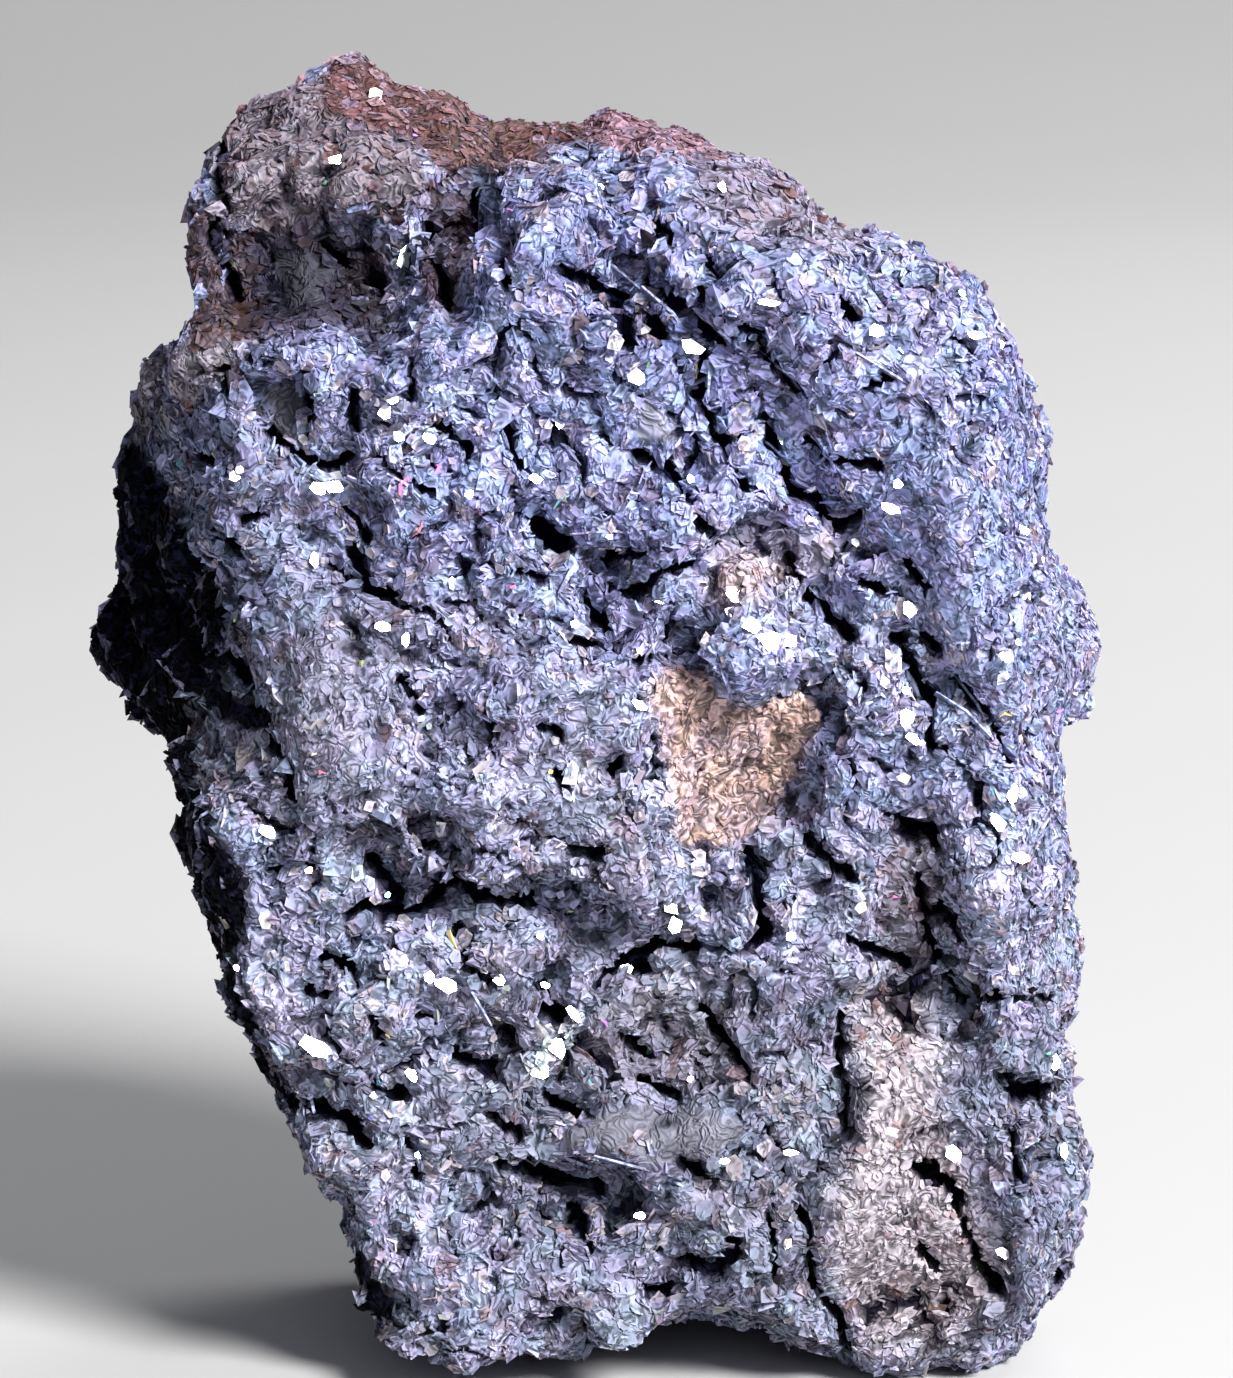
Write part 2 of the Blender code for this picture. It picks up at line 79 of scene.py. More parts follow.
# Kinds of surface on the front: corners in the picture plane, as millimetres right of and above the
# camera's aim, and the softness of the area's edge
AREAS = {
    "crust": (
        [(-21.8, 42.1), (-21.2, 49), (-14.3, 48), (-5.6, 47), (1.7, 46), (8.6, 43),
         (8.3, 38.9), (3.2, 38.5), (-0.8, 39.6), (-4.9, 39.6), (-5.9, 38.5), (-9.5, 38),
         (-13, 38.1), (-14.6, 40.1), (-19.5, 40.9)], 0.6),
    "rusty crust": (
        [(-13.5, 41.7), (-10.7, 42.4), (-6.2, 41.2), (-5.9, 38.8), (-9.5, 38), (-12.9, 38.2),
         (-14.3, 40.1)], 0.9),
    "pink lumps": (
        [(-3.2, 42.3), (-1.2, 44.7), (2.1, 44.7), (6.5, 43.1), (8.4, 39.2), (3.2, 38.6), (-0.8, 39.5)],
        0.5),
    "pink tinge": (
        [(5.4, 38.2), (10.5, 39.8), (18.4, 36), (17.4, 32), (10.5, 33.1), (5.4, 34.6)], 1.5),
    "block": (
        [(-29.5, 39.7), (-28.1, 44.1), (-20.9, 44.1), (-19.5, 40.8), (-14.6, 40.1), (-13.6, 36.4),
         (-15.8, 34.6), (-20.9, 34.6), (-26, 33.1), (-29.5, 34.6)], 0.8),
    "hollow": (
        [(-27.8, 33.1), (-25.9, 34.1), (-20.9, 34.1), (-16.9, 33.1), (-16.7, 31.2), (-17.3, 26.6),
         (-23.1, 25.8), (-27.1, 25.8)], 0.8),
    "rim": (
        [(-33, 32.8), (-31.5, 35.8), (-28.6, 34.1), (-26.6, 32.8), (-26.2, 25.5), (-30.5, 24.9),
         (-32.9, 28.4)], 0.8),
    "inner rim": ([(-20.8, 31.1), (-16.5, 32.4), (-16.8, 26.8), (-20.2, 27.4)], 0.7),
    "gash": (
        [(-14, 37), (-10.4, 36.8), (-10.5, 32), (-11.6, 26.9), (-14, 28.2), (-14.5, 32),
         (-13.6, 34.6)], 0.6),
    "ledge": (
        [(-37.1, 20.7), (-35.1, 24.2), (-30.4, 25.8), (-27.5, 25.1), (-27.8, 22.9), (-30.4, 21.1),
         (-33, 18.9), (-36.6, 18.5)], 0.8),
    "smooth patch": ([(-25.9, 22.2), (-23.1, 22.6), (-22.5, 19.6), (-24.2, 18.4), (-25.4, 19.6)], 0.4),
    "smooth hollow": ([(-25.4, 32.4), (-22.6, 32.2), (-20.4, 30.6), (-20.8, 28), (-24.4, 27.2)], 0.5),
    "grey spot": ([(1.2, 21.2), (4, 20.4), (4.4, 17.4), (1.4, 17.6)], 0.6),
    "ochre": (
        [(2.3, 0.7), (3.2, 1.8), (5.5, 1.5), (7.7, -0.2), (8.9, -1.2), (10.8, -1.2), (12.7, -0.2),
         (14.5, -0.4), (15.1, -2), (14.3, -4.5), (12.4, -7.1), (11.2, -9.6), (9.4, -11.2),
         (7.2, -12.2), (5.4, -11.8), (4.2, -10.7), (3.8, -8.1), (3.3, -3.7)], 0.45),
    "pink": (
        [(6.1, 10.3), (10.1, 12.7), (15.6, 11.8), (16.9, 9.4), (13.4, 7.1), (9, 5.8), (6.5, 7.1)], 1.2),
    "plateau": (
        [(-25.9, -0.1), (-20.9, 5.6), (-10.7, 7.2), (-4.1, 3.6), (1.7, 0.7), (3.3, -3.7), (4.6, -17.6),
         (-1.9, -15.4), (-8.5, -14.7), (-14.3, -13.2), (-19.5, -10.3), (-23.8, -5.2)], 1.5),
    "grey-brown": (
        [(17.3, -22.9), (19.5, -21.2), (22.6, -21.7), (24.2, -27.1), (24.1, -32.2), (27, -39.5),
         (28.1, -43.9), (25.2, -48.1), (18.5, -48.4), (15.6, -43.9), (15.5, -37.3), (17.6, -32.2)], 1.8),
    "streak": (
        [(19.6, -9.2), (23.2, -9.2), (23.7, -13.2), (23.2, -19.9), (19.2, -20.4), (19.1, -16.9)], 0.6),
    "lens": (
        [(-4.5, -32.3), (-1.2, -30.9), (2.4, -30), (6.1, -30.4), (8.9, -31.5), (9.2, -32.9),
         (6.1, -34.4), (1.7, -34.5), (-1.9, -33.8)], 0.4),
    "ridge": (
        [(-16.4, 35.2), (-15.2, 36), (-14.3, 33.5), (-13.9, 28.5), (-15.2, 26.6), (-16.5, 28.5)], 0.4),
    "shine": ([(-17.2, 22), (-13.2, 23.4), (-12.2, 18.5), (-15.2, 15.5), (-18.2, 18)], 1.2),
    "ribbon": (
        [(-7.2, -28.2), (-5.6, -25.5), (-3, -23), (-2.1, -23.7), (-3.7, -26.5), (-5.9, -28.5)], 0.3),
    "speckled": (
        [(-1.2, -22), (3.2, -21.6), (9.4, -23.4), (9.4, -28.9), (6.1, -30), (0.3, -29.6),
         (-2.3, -26.4)], 1),
    # Painted shade over the low right of the front
    "painted_low_shade": (
        [(-13, -20), (17, -22), (34, -22), (35, -44), (30, -49), (-6, -49)],
        3),
    "left": ([(-34, 20), (-16, 20), (-14, 2), (-22, -10), (-32, -8)], 3),
    "even patch": (
        [(16.5, -23), (19.5, -21.5), (24, -20.5), (27.5, -24), (28.6, -31), (29.3, -38),
         (29.3, -43), (26, -46.5), (18.5, -47), (15.5, -44), (15.5, -37), (17.5, -32)], 1.8),
    "even streak": ([(18.5, -8), (24.5, -8), (25.5, -14), (26, -21), (19, -21)], 1.2),
    "even shoulder": (
        [(-30.3, 10), (-28.5, 5), (-28.2, 1), (-26, -3), (-24, -8), (-18, -7),
         (-18, 2), (-21, 10)], 1),
    "even ridge": (
        [(-18.5, 36), (-14.5, 37.5), (-13.2, 32), (-13, 24), (-16.5, 22), (-19, 24),
         (-17.2, 29)], 0.8),
    "even side": (
        [(17.5, 28), (22.5, 27), (25, 12), (26, 2), (24, 0), (20, 8), (16.5, 16)], 2),
    "knob": ([(6.5, 5), (9.5, 8), (13.5, 7), (14.3, 3.5), (12, -0.4), (8.6, -0.6)], 0.7),
    # The left flank, which the key light leaves in shadow, painted near black as shade
    "flank": (
        [(-46.1, 18.2), (-36.5, 18.5), (-33.7, 17.2), (-32.7, 14.8), (-31.4, 12.4), (-31.6, 11.1),
         (-29.5, 8.7), (-28.6, 7.6), (-28.4, 5), (-28.1, 1), (-25.5, -2.7), (-25.9, -3.5),
         (-28.6, -2.4), (-30.6, -0.4), (-30.3, -4.3), (-31.1, -6.7), (-29.5, -9.3), (-28.1, -12.3),
         (-26.8, -14.2), (-26.7, -18.6), (-27.7, -20.6), (-25.9, -25), (-23.5, -28.7), (-24.1, -30),
         (-22.2, -36.4), (-20.5, -38.3), (-19.5, -40), (-17.1, -42.7), (-16.1, -46.1), (-17.8, -48.4),
         (-20.9, -51.9), (-36.9, -51.9), (-46.1, -0.8)], 0.5),
}

# Crevices of the front, cut deep and painted black as shade: their run in the picture plane, and half their
# width
CREVICES = [
    ([(-31.1, 17.1), (-28.6, 16)], 0.42), ([(-28.6, 23.3), (-28.3, 21.5)], 0.42),
    ([(-26.5, 24), (-25.6, 23.9)], 0.50), ([(-22.9, 22.9), (-22.4, 20.7), (-22.7, 18.5)], 0.42),
    ([(-25.7, 18.9), (-23.1, 17.1), (-20.9, 16.1), (-19.5, 17.1)], 0.42),
    ([(-14.9, 24.7), (-14.9, 21.1)], 0.42), ([(-19.1, 21.5), (-19.5, 20.4), (-18.9, 18.2)], 0.42),
    ([(-13.1, 19.5), (-10.7, 17.4)], 0.42), ([(-8, 18.8), (-7.6, 17.4), (-6.8, 16.1)], 0.67),
    ([(-17.3, 16.9), (-15.8, 15.6), (-14.3, 14.5), (-13, 14.4)], 0.42),
    ([(-19.8, 13.1), (-18.6, 12), (-18.2, 10.9)], 0.42), ([(-27.5, 12.2), (-25.7, 12.9)], 0.42),
    ([(-29.5, 11.2), (-27.5, 10.1)], 0.42), ([(-20.9, 9.4), (-19.8, 8.2)], 0.42),
    ([(-19.3, 9.8), (-18, 7.4), (-16.5, 6.6)], 0.67), ([(-6.3, 12.2), (-5.2, 11.3), (-4, 10.5)], 0.92),
    ([(-7.2, 8.5), (-5.6, 8.1)], 0.42), ([(-0.8, 7.1), (1.7, 7.1), (3.3, 8.4), (5.5, 9.1)], 0.59),
    ([(-0.8, 9.4), (-0, 10), (1.7, 9.7)], 0.42), ([(-2.1, 6.5), (-0.8, 4.3)], 0.50),
    ([(-3.4, 3.6), (-1.6, 3)], 0.50), ([(-15.4, 6.1), (-13.6, 5.4), (-12.2, 3.9)], 0.42),
    ([(-15.8, 0.7), (-14.3, -1.5)], 0.42),
    ([(-28.1, 2.5), (-26.4, -0.4), (-25.1, -3.6), (-23.4, -8.1)], 0.59),
    ([(-3.8, 30.4), (-1.9, 29.5), (0.4, 28.7)], 0.67),
    ([(2.4, 29.5), (4.1, 28.4), (6.1, 26.6), (8.3, 24.7)], 0.50),
    ([(-0.3, 27.5), (0.4, 26.4), (1.1, 25.1)], 0.84), ([(2.4, 27.3), (3.2, 25.3)], 0.67),
    ([(5.9, 29.1), (7.7, 26.8)], 0.50), ([(6.5, 24), (6.5, 21.7)], 0.76),
    ([(8.9, 26.2), (10.6, 25.8)], 0.50), ([(10.5, 24.7), (13.4, 21.7)], 0.42),
    ([(18.6, 22.2), (19.7, 22.7)], 0.50), ([(6.5, 20.4), (7.6, 18.2), (9.4, 14.5)], 0.42),
    ([(11.1, 19.6), (11.6, 17.4), (12.7, 14.5), (14.5, 13.8), (15.9, 12), (17.8, 12.7)], 0.67),
    ([(13.8, 18.2), (15.6, 16.7), (19.2, 16.4)], 0.42),
    ([(12.7, 9.4), (13.8, 7.2), (15.9, 5), (17, 3.9)], 0.59), ([(3.3, 34.1), (3.8, 32.5)], 0.76),
    ([(1.7, 17.1), (3.9, 16), (5.4, 13.8)], 0.50), ([(6.1, 12.5), (7, 10.9)], 0.42),
    ([(-25.3, -13.4), (-22.4, -12.6)], 0.42), ([(-19.8, -16.7), (-18.3, -16)], 0.67),
    ([(-18.1, -12.2), (-17, -13.9), (-15.9, -15.3)], 0.84),
    ([(-17.1, -16.3), (-15.1, -16.5), (-12.9, -14.8), (-12, -12.9)], 0.84),
    ([(-13.6, -11.8), (-12.5, -13.6), (-10.8, -14.8)], 0.84),
    ([(-10.7, -14.8), (-8.5, -15.8), (-6.3, -15.3)], 0.67),
    ([(-11.8, -17.2), (-11.1, -20.1), (-9.2, -21.6)], 0.42),
    ([(-21.6, -19.8), (-19.1, -19.8), (-18.9, -21.6)], 0.42), ([(-22.7, -22), (-21.1, -22.1)], 0.42),
    ([(-0.3, -5.8), (0.4, -5.2)], 0.67), ([(-3, -12.2), (-1.2, -12)], 0.76),
    ([(-4.1, -6.6), (-3.7, -7.5)], 0.59), ([(-9.5, -1.7), (-8.5, -3.4)], 0.42),
    ([(-5.4, -2.6), (-4, -3.5)], 0.42),
    ([(-1.2, -21.6), (0.6, -19.8), (3.2, -18.8), (5.5, -19.1)], 0.76),
    ([(1.2, -20.7), (3.2, -20.4)], 0.67), ([(-5.9, -23.4), (-4, -23.7)], 0.67),
    ([(-14.7, -23.6), (-12.9, -24.7)], 0.42), ([(-12, -26.8), (-10.3, -27.4), (-8.9, -28.2)], 0.76),
    ([(-4.9, -29.7), (-4.1, -30.9), (-2.4, -31.2)], 0.84), ([(-8.9, -31.1), (-7.4, -32.9)], 0.67),
    ([(-18, -24), (-17.1, -25.8)], 0.42), ([(-21.5, -24.9), (-19.7, -27.2)], 0.42),
    ([(-24, -30), (-21.3, -30.9), (-19.3, -31.5), (-18.4, -33.6)], 0.76),
    ([(-15.4, -32.2), (-14.7, -35.5)], 0.42), ([(-8.5, -34.7), (-5.6, -35.5)], 0.42),
    ([(-18, -28.9), (-15.7, -29.7)], 0.50), ([(-8.3, -24.7), (-8, -25.6)], 0.50),
    ([(1.7, 2), (3.5, 2.5), (4.9, 2.4)], 0.42), ([(13.2, -10.3), (15.6, -12.5), (17.2, -13.9)], 0.67),
    ([(9.4, -12.3), (10.3, -15.4), (10.8, -17.6), (9.9, -18.7)], 0.84),
    ([(21.1, -9.7), (22, -10.4)], 1.01), ([(23, -9.7), (23.3, -11.8)], 0.67),
    ([(22, -13.2), (22.5, -16.9), (23.6, -19.8), (25.2, -22.7)], 0.50),
    ([(23.6, -15.8), (25.2, -18.2)], 0.50), ([(20.7, 3.6), (21.8, 0.7), (22.9, -1.1)], 0.76),
    ([(22.7, 3.6), (23.3, 3)], 0.67), ([(24.5, 0.7), (26.9, -1.4)], 0.67),
    ([(22.9, -1.9), (23, -4.5), (24.2, -4.5)], 0.42), ([(27.1, -1.9), (28.7, -5.2)], 0.42),
    ([(17, -18.3), (19.2, -19.4), (21.1, -19.9)], 0.59),
    ([(-6.2, -34.8), (-3.8, -36.2), (-1.4, -36.3)], 0.92), ([(-3.2, -37.7), (-2.2, -40.8)], 0.67),
    ([(5.4, -41.8), (7.2, -42.6), (8.6, -40.7)], 0.84), ([(2.4, -44), (5.4, -43.4)], 0.59),
    ([(13, -37.2), (14.3, -39.9), (14.1, -43.5), (15.9, -45.3), (17, -48)], 0.50),
    ([(23, -35), (24.7, -36.6), (25.8, -40.2), (26.9, -42.4), (28.1, -44.3)], 0.50),
    ([(22, -40.8), (23.6, -42.6)], 0.42), ([(21.8, -35.1), (22.6, -35.5)], 0.59),
    ([(28.3, -28.4), (29.6, -29.9), (31.1, -29.1)], 0.76), ([(28.9, -32.2), (29.5, -36.6)], 0.67),
    ([(26.9, -22.6), (28.7, -22.8), (31.6, -22.7)], 0.42), ([(1.7, -28.5), (4.6, -29.7)], 0.50),
    ([(6.1, -23.4), (9, -27.1), (9.7, -28.9)], 0.42), ([(0.3, -24.9), (2.4, -27.1)], 0.42),
    ([(31.8, -43), (33, -42.3)], 0.59), ([(5.1, -35), (6.1, -35.3)], 0.76),
    ([(11.2, -38), (11.6, -43.9)], 0.42), ([(16.5, 28), (17, 27.3)], 0.67),
    ([(16.3, -23.8), (16.5, -28.5), (16.9, -32.2)], 0.42), ([(-20.9, 32), (-19.8, 31.2)], 0.50),
    ([(-29.4, 33.9), (-28.9, 31.3), (-27.5, 28.4)], 0.50),
    ([(-28.8, 39.3), (-29.1, 36.4), (-28.4, 34.6)], 0.50),
    ([(-13.8, 33.9), (-13.2, 31.2), (-12.2, 27.7)], 0.50), ([(-10.3, 36.4), (-10.1, 33.1)], 0.42),
    ([(-8.5, 31.2), (-7.9, 29.7)], 0.50), ([(21.1, 9.4), (22.5, 7.2)], 0.42),
    ([(17.8, 7.6), (19.2, 7.2)], 0.50),
]

# Large bright plates of the front: place in the picture plane, half length, half width and turn
# Their white is a painted highlight, besides their turn towards the key light
GLINTS = [
    (-17.6, 43.4, 0.54, 0.54, 0), (1.5, 22.8, 0.69, 0.69, 0), (-21.7, 14.6, 0.46, 0.61, 90),
    (-20.5, 14.7, 0.46, 0.69, 90), (-5.9, 15.3, 0.54, 0.38, 20), (11.2, 3.6, 0.92, 0.77, 0),
    (9.9, 4.7, 0.69, 0.61, 0), (12.7, 3.5, 0.61, 0.54, 0), (8.6, 6.9, 0.69, 0.46, 30),
    (8.3, 5.6, 0.38, 0.38, 0), (3.2, 6.5, 0.54, 0.38, 0), (12.1, 18.5, 0.38, 0.69, 0),
    (12.4, 16.6, 0.61, 0.38, 40), (20.0, 13.1, 0.77, 0.38, 10), (20.5, 15.0, 0.38, 0.38, 0),
    (21.4, 5.8, 0.61, 0.61, 0), (21.1, -2.1, 0.61, 0.69, 0), (21.6, -3.6, 0.61, 0.38, 40),
    (29.5, -12.3, 0.69, 0.38, 0), (25.9, -20.9, 0.69, 0.38, 30), (24.6, -33.9, 0.69, 0.61, 0),
    (28.2, -41.1, 0.54, 0.54, 0), (34.4, -40.9, 0.61, 0.46, 0), (-21.9, -26.2, 1.23, 0.61, 35),
    (-14.9, -28.2, 0.54, 0.38, 45), (-12.4, -21.5, 0.84, 0.61, 0), (-13.6, -21.0, 0.38, 0.38, 0),
    (0.8, -20.4, 0.46, 0.38, 0), (-5.6, -27.8, 1.00, 0.61, 0), (-4.4, -26.1, 0.92, 0.61, 60),
    (-3.1, -23.7, 0.77, 0.31, 55), (12.7, -33.8, 0.54, 0.23, 0), (11.1, 28.2, 1.00, 0.27, 0),
    (18.9, 26.1, 0.61, 0.46, 0), (26.2, 25.8, 0.69, 0.31, -10), (5.5, 25.0, 0.92, 0.61, 20),
    (28.9, -7.7, 0.38, 0.84, 15), (27.8, -9.7, 0.46, 0.69, -40), (-25.4, -10.4, 0.69, 0.38, 20),
    (-29.5, 14.7, 1.07, 0.46, 15), (-27.8, 15.5, 0.46, 0.38, 0), (-20.2, 38.6, 0.77, 0.31, -5),
    (-16.4, 21.2, 0.54, 0.46, 0), (-16.9, 20.2, 0.46, 0.54, 0), (-13.6, 18.2, 0.54, 0.38, 30),
    (-15.8, 18.4, 0.46, 0.38, 0), (-8.4, -2.8, 0.69, 0.38, -20), (12.7, -18.0, 0.38, 0.38, 0),
    (3.9, -15.8, 0.69, 0.46, 60), (4.3, -17.2, 0.46, 0.69, 20), (29.9, 6.8, 0.46, 0.69, 0),
    (28.4, 2.3, 0.54, 0.31, 30), (-15.4, 31.5, 0.46, 1.00, 15), (-10.4, 30.6, 0.38, 0.38, 0),
    (-10.7, 14.2, 0.31, 0.31, 0), (17.4, 10.7, 0.31, 0.31, 0), (7.7, 36.6, 0.31, 0.46, 0),
    (5.4, 15.3, 0.31, 0.31, 0), (-1.2, 36.6, 0.31, 0.31, 0), (30.9, 9.4, 0.38, 0.31, 0),
    (29.7, 11.6, 0.46, 0.23, 40), (1.7, -1.2, 0.61, 0.31, 40), (-5.2, -21.6, 0.38, 0.31, 0),
    (-8.5, -21.2, 0.54, 0.38, 30), (32.0, -27.2, 0.38, 0.54, 0), (32.6, -33.6, 0.31, 0.61, 0),
    (1.7, 2.8, 0.23, 0.23, 0), (-4.1, 19.3, 0.38, 0.31, 0), (-22.0, 9.4, 0.38, 0.61, 0),
    (-15.4, 3.6, 0.31, 0.54, 0), (-17.0, 4.6, 0.54, 0.38, 0), (-27.5, 16.0, 0.31, 0.31, 0),
    (28.0, 25.1, 0.31, 0.31, 0), (21.1, -0.1, 0.31, 0.31, 0), (7.9, -34.4, 0.46, 0.23, 0),
    (1.7, -38.4, 0.54, 0.31, 0), (-3.0, 4.7, 0.31, 0.31, 0),
]

# Small coloured glints of the front, their colour painted: place in the picture plane and hue
FIRES = [
    (-0.5, 11.1, 0.42), (29.3, 3.4, 0.45), (25.2, 28.9, 0.42), (-16.7, -15.0, 0.46), (2.4, -26.4, 0.43),
    (-31.9, 16.4, 0.48), (-8.7, -2.8, 0.50), (-22.4, -13.2, 0.07), (-5.6, -18.0, 0.08), (21.1, -2.3, 0.14),
    (-12.5, 30.9, 0.15), (5.4, -28.4, 0.96), (-14.5, -34.0, 0.62), (-27.7, -20.3, 0.75),
]

# Long thin blades of the front: both ends in the picture plane and half the width
BLADES = [
    (-2.3, 32.4, 1.6, 28.8, 0.16), (1.7, 28.8, 6.1, 25.8, 0.20), (6.1, 25.8, 8.7, 24.1, 0.15),
    (3.8, 29.3, 8.4, 25.9, 0.13), (-1.2, 30.2, 3.4, 27.0, 0.13), (8.7, 19.9, 13.3, 15.2, 0.14),
    (10.2, 24.6, 14.6, 20.8, 0.13), (-15.6, 33.6, -14.4, 26.8, 0.50), (-2.7, 10.4, -4.2, 7.0, 0.30),
    (-2.9, 10.9, 2.4, 11.6, 0.16), (-8.6, -33.1, -1.0, -35.6, 0.22), (-2.0, -35.2, 7.6, -36.2, 0.18),
    (-19.6, 14.8, -15.2, 13.8, 0.22), (-17.4, 16.2, -13.6, 13.4, 0.16), (17.6, 24.6, 24.5, 19.4, 0.16),
    (6.6, 21.4, 7.4, 24.8, 0.20), (24.6, 1.2, 27.5, -3.6, 0.18), (23.2, -0.9, 27.6, -2.6, 0.14),
    (-13.0, -18.3, -9.6, -24.6, 0.18), (-26.0, -25.6, -19.8, -33.4, 0.20), (-24.6, 24.6, -22.4, 20.2, 0.24),
]

# Areas whose depth is drawn to one gently curved surface
EVEN = ("even patch", "even streak", "even shoulder", "even ridge", "even side")

# What each point of a plate carries for the material, in the order of its columns
# Of these, shade and rim carry painted shade and light, and the glint hue a painted colour
VALUES = ("tint", "cool", "shade", "stain", "warmth", "ochre", "rosy", "painted_glint_hue", "gloss", "rim")


def smooth_step(low, high, value):
    share = np.clip((value - low) / (high - low), 0.0, 1.0)
    return share * share * (3.0 - 2.0 * share)


def distance_to_line(points, line, closed=False):
    """Distance of each flat point to a line of corners."""
    ends = line[1:] + line[:1] if closed else line[1:]
    nearest = np.full(len(points), np.inf)
    for start, end in zip(line, ends, strict=False):
        start, along = np.array(start, float), np.array(end, float) - np.array(start, float)
        share = np.clip((points - start) @ along / (along @ along), 0.0, 1.0)
        gap = points - start - share[:, None] * along
        nearest = np.minimum(nearest, np.hypot(gap[:, 0], gap[:, 1]))
    return nearest


def inside(points, corners):
    """Whether each flat point lies within the closed line of corners."""
    found = np.zeros(len(points), bool)
    for (x0, z0), (x1, z1) in zip(corners, corners[1:] + corners[:1], strict=True):
        if z0 == z1:
            continue
        crosses = (points[:, 1] > min(z0, z1)) & (points[:, 1] <= max(z0, z1))
        at = x0 + (points[:, 1] - z0) * (x1 - x0) / (z1 - z0)
        found ^= crosses & (points[:, 0] < at)
    return found


def noise_at(points, size, start):
    """Smooth noise from -1 to 1 with lumps of this size in millimetres."""
    shift = Vector((start, -start, start * 0.5))
    return np.array([noise.noise(Vector(p) / size + shift) for p in points])


def noise_vectors(points, size, start):
    """A smooth field of directions."""
    return np.stack([noise_at(points, size, start + further) for further in (0.0, 31.7, 67.3)], axis=1)


def unit(vectors):
    return vectors / np.maximum(np.linalg.norm(vectors, axis=-1, keepdims=True), 1e-9)


def seen(points):
    """Where each point shows in the picture plane, in millimetres right of and above the aim."""
    away = points - AIM
    depth = CAMERA_DISTANCE - away @ CAMERA_FROM
    up = away[:, 2] * math.cos(CAMERA_RISE) + away[:, 1] * math.sin(CAMERA_RISE)
    return np.stack([away[:, 0], up], axis=1) * (CAMERA_DISTANCE / depth)[:, None]


def read_points(mesh):
    """The mesh's points and normals in millimetres, as arrays."""
    points = np.empty(len(mesh.vertices) * 3, np.float32)
    normals = np.empty(len(mesh.vertices) * 3, np.float32)
    mesh.vertices.foreach_get("co", points)
    mesh.vertex_normals.foreach_get("vector", normals)
    return points.reshape(-1, 3).astype(float) / MM, normals.reshape(-1, 3).astype(float)


def write_points(mesh, points):
    mesh.vertices.foreach_set("co", (points * MM).astype(np.float32).ravel())
    mesh.update()


def add_object(name, data):
    obj = bpy.data.objects.new(name, data)
    bpy.context.scene.collection.objects.link(obj)
    return obj


def apply_modifiers(obj):
    graph = bpy.context.evaluated_depsgraph_get()
    mesh = bpy.data.meshes.new_from_object(obj.evaluated_get(graph))
    obj.modifiers.clear()
    obj.data = mesh


def remesh(obj, voxel):
    modifier = obj.modifiers.new("remesh", "REMESH")
    modifier.mode = "VOXEL"
    modifier.voxel_size = voxel * MM
    apply_modifiers(obj)


def soften(obj, factor, rounds):
    modifier = obj.modifiers.new("soften", "SMOOTH")
    modifier.factor = factor
    modifier.iterations = rounds
    apply_modifiers(obj)


def thin_out(obj, triangles):
    obj.data.calc_loop_triangles()
    modifier = obj.modifiers.new("thin", "DECIMATE")
    modifier.ratio = min(1.0, triangles / len(obj.data.loop_triangles))
    apply_modifiers(obj)


def depth_in_pits(mesh, rounds):
    """How far each point lies below the smoothed surface, in millimetres. Ridges are negative."""
    edges = np.empty(len(mesh.edges) * 2, np.int32)
    mesh.edges.foreach_get("vertices", edges)
    first, second = edges[0::2], edges[1::2]
    count = len(mesh.vertices)
    around = np.maximum(np.bincount(first, minlength=count) + np.bincount(second, minlength=count), 1)
    points, normals = read_points(mesh)
    smooth = points.copy()
    for _ in range(rounds):
        for axis in range(3):
            old = smooth[:, axis]
            total = np.bincount(first, old[second], count) + np.bincount(second, old[first], count)
            smooth[:, axis] = 0.5 * old + 0.5 * total / around
    return ((smooth - points) * normals).sum(axis=1)


def uneven(flat, points):
    """The flat points shifted a little by noise, so that no area ends along a straight line."""
    flat = flat.copy()
    flat[:, 0] += 0.7 * noise_at(points, 3.0, 5.0) + 0.45 * noise_at(points, 1.2, 8.0)
    flat[:, 1] += 0.7 * noise_at(points, 3.0, 51.0) + 0.45 * noise_at(points, 1.2, 58.0)
    return flat


def crevices_at(points, normals):
    """How deep in a black crevice each point lies, from 0 on the open face to 1 in the middle."""
    flat = seen(points)
    flat[:, 0] += 0.40 * noise_at(points, 1.3, 25.0)
    flat[:, 1] += 0.40 * noise_at(points, 1.3, 35.0)
    width = 1.2 + 1.1 * noise_at(points, 1.9, 45.0)
    share = np.zeros(len(points))
    for line, half_width in CREVICES:
        share = np.maximum(share, 1.0 - distance_to_line(flat, line) / (half_width * width))
    return np.clip(share, 0.0, 1.0) * smooth_step(0.0, 0.3, normals @ CAMERA_FROM)


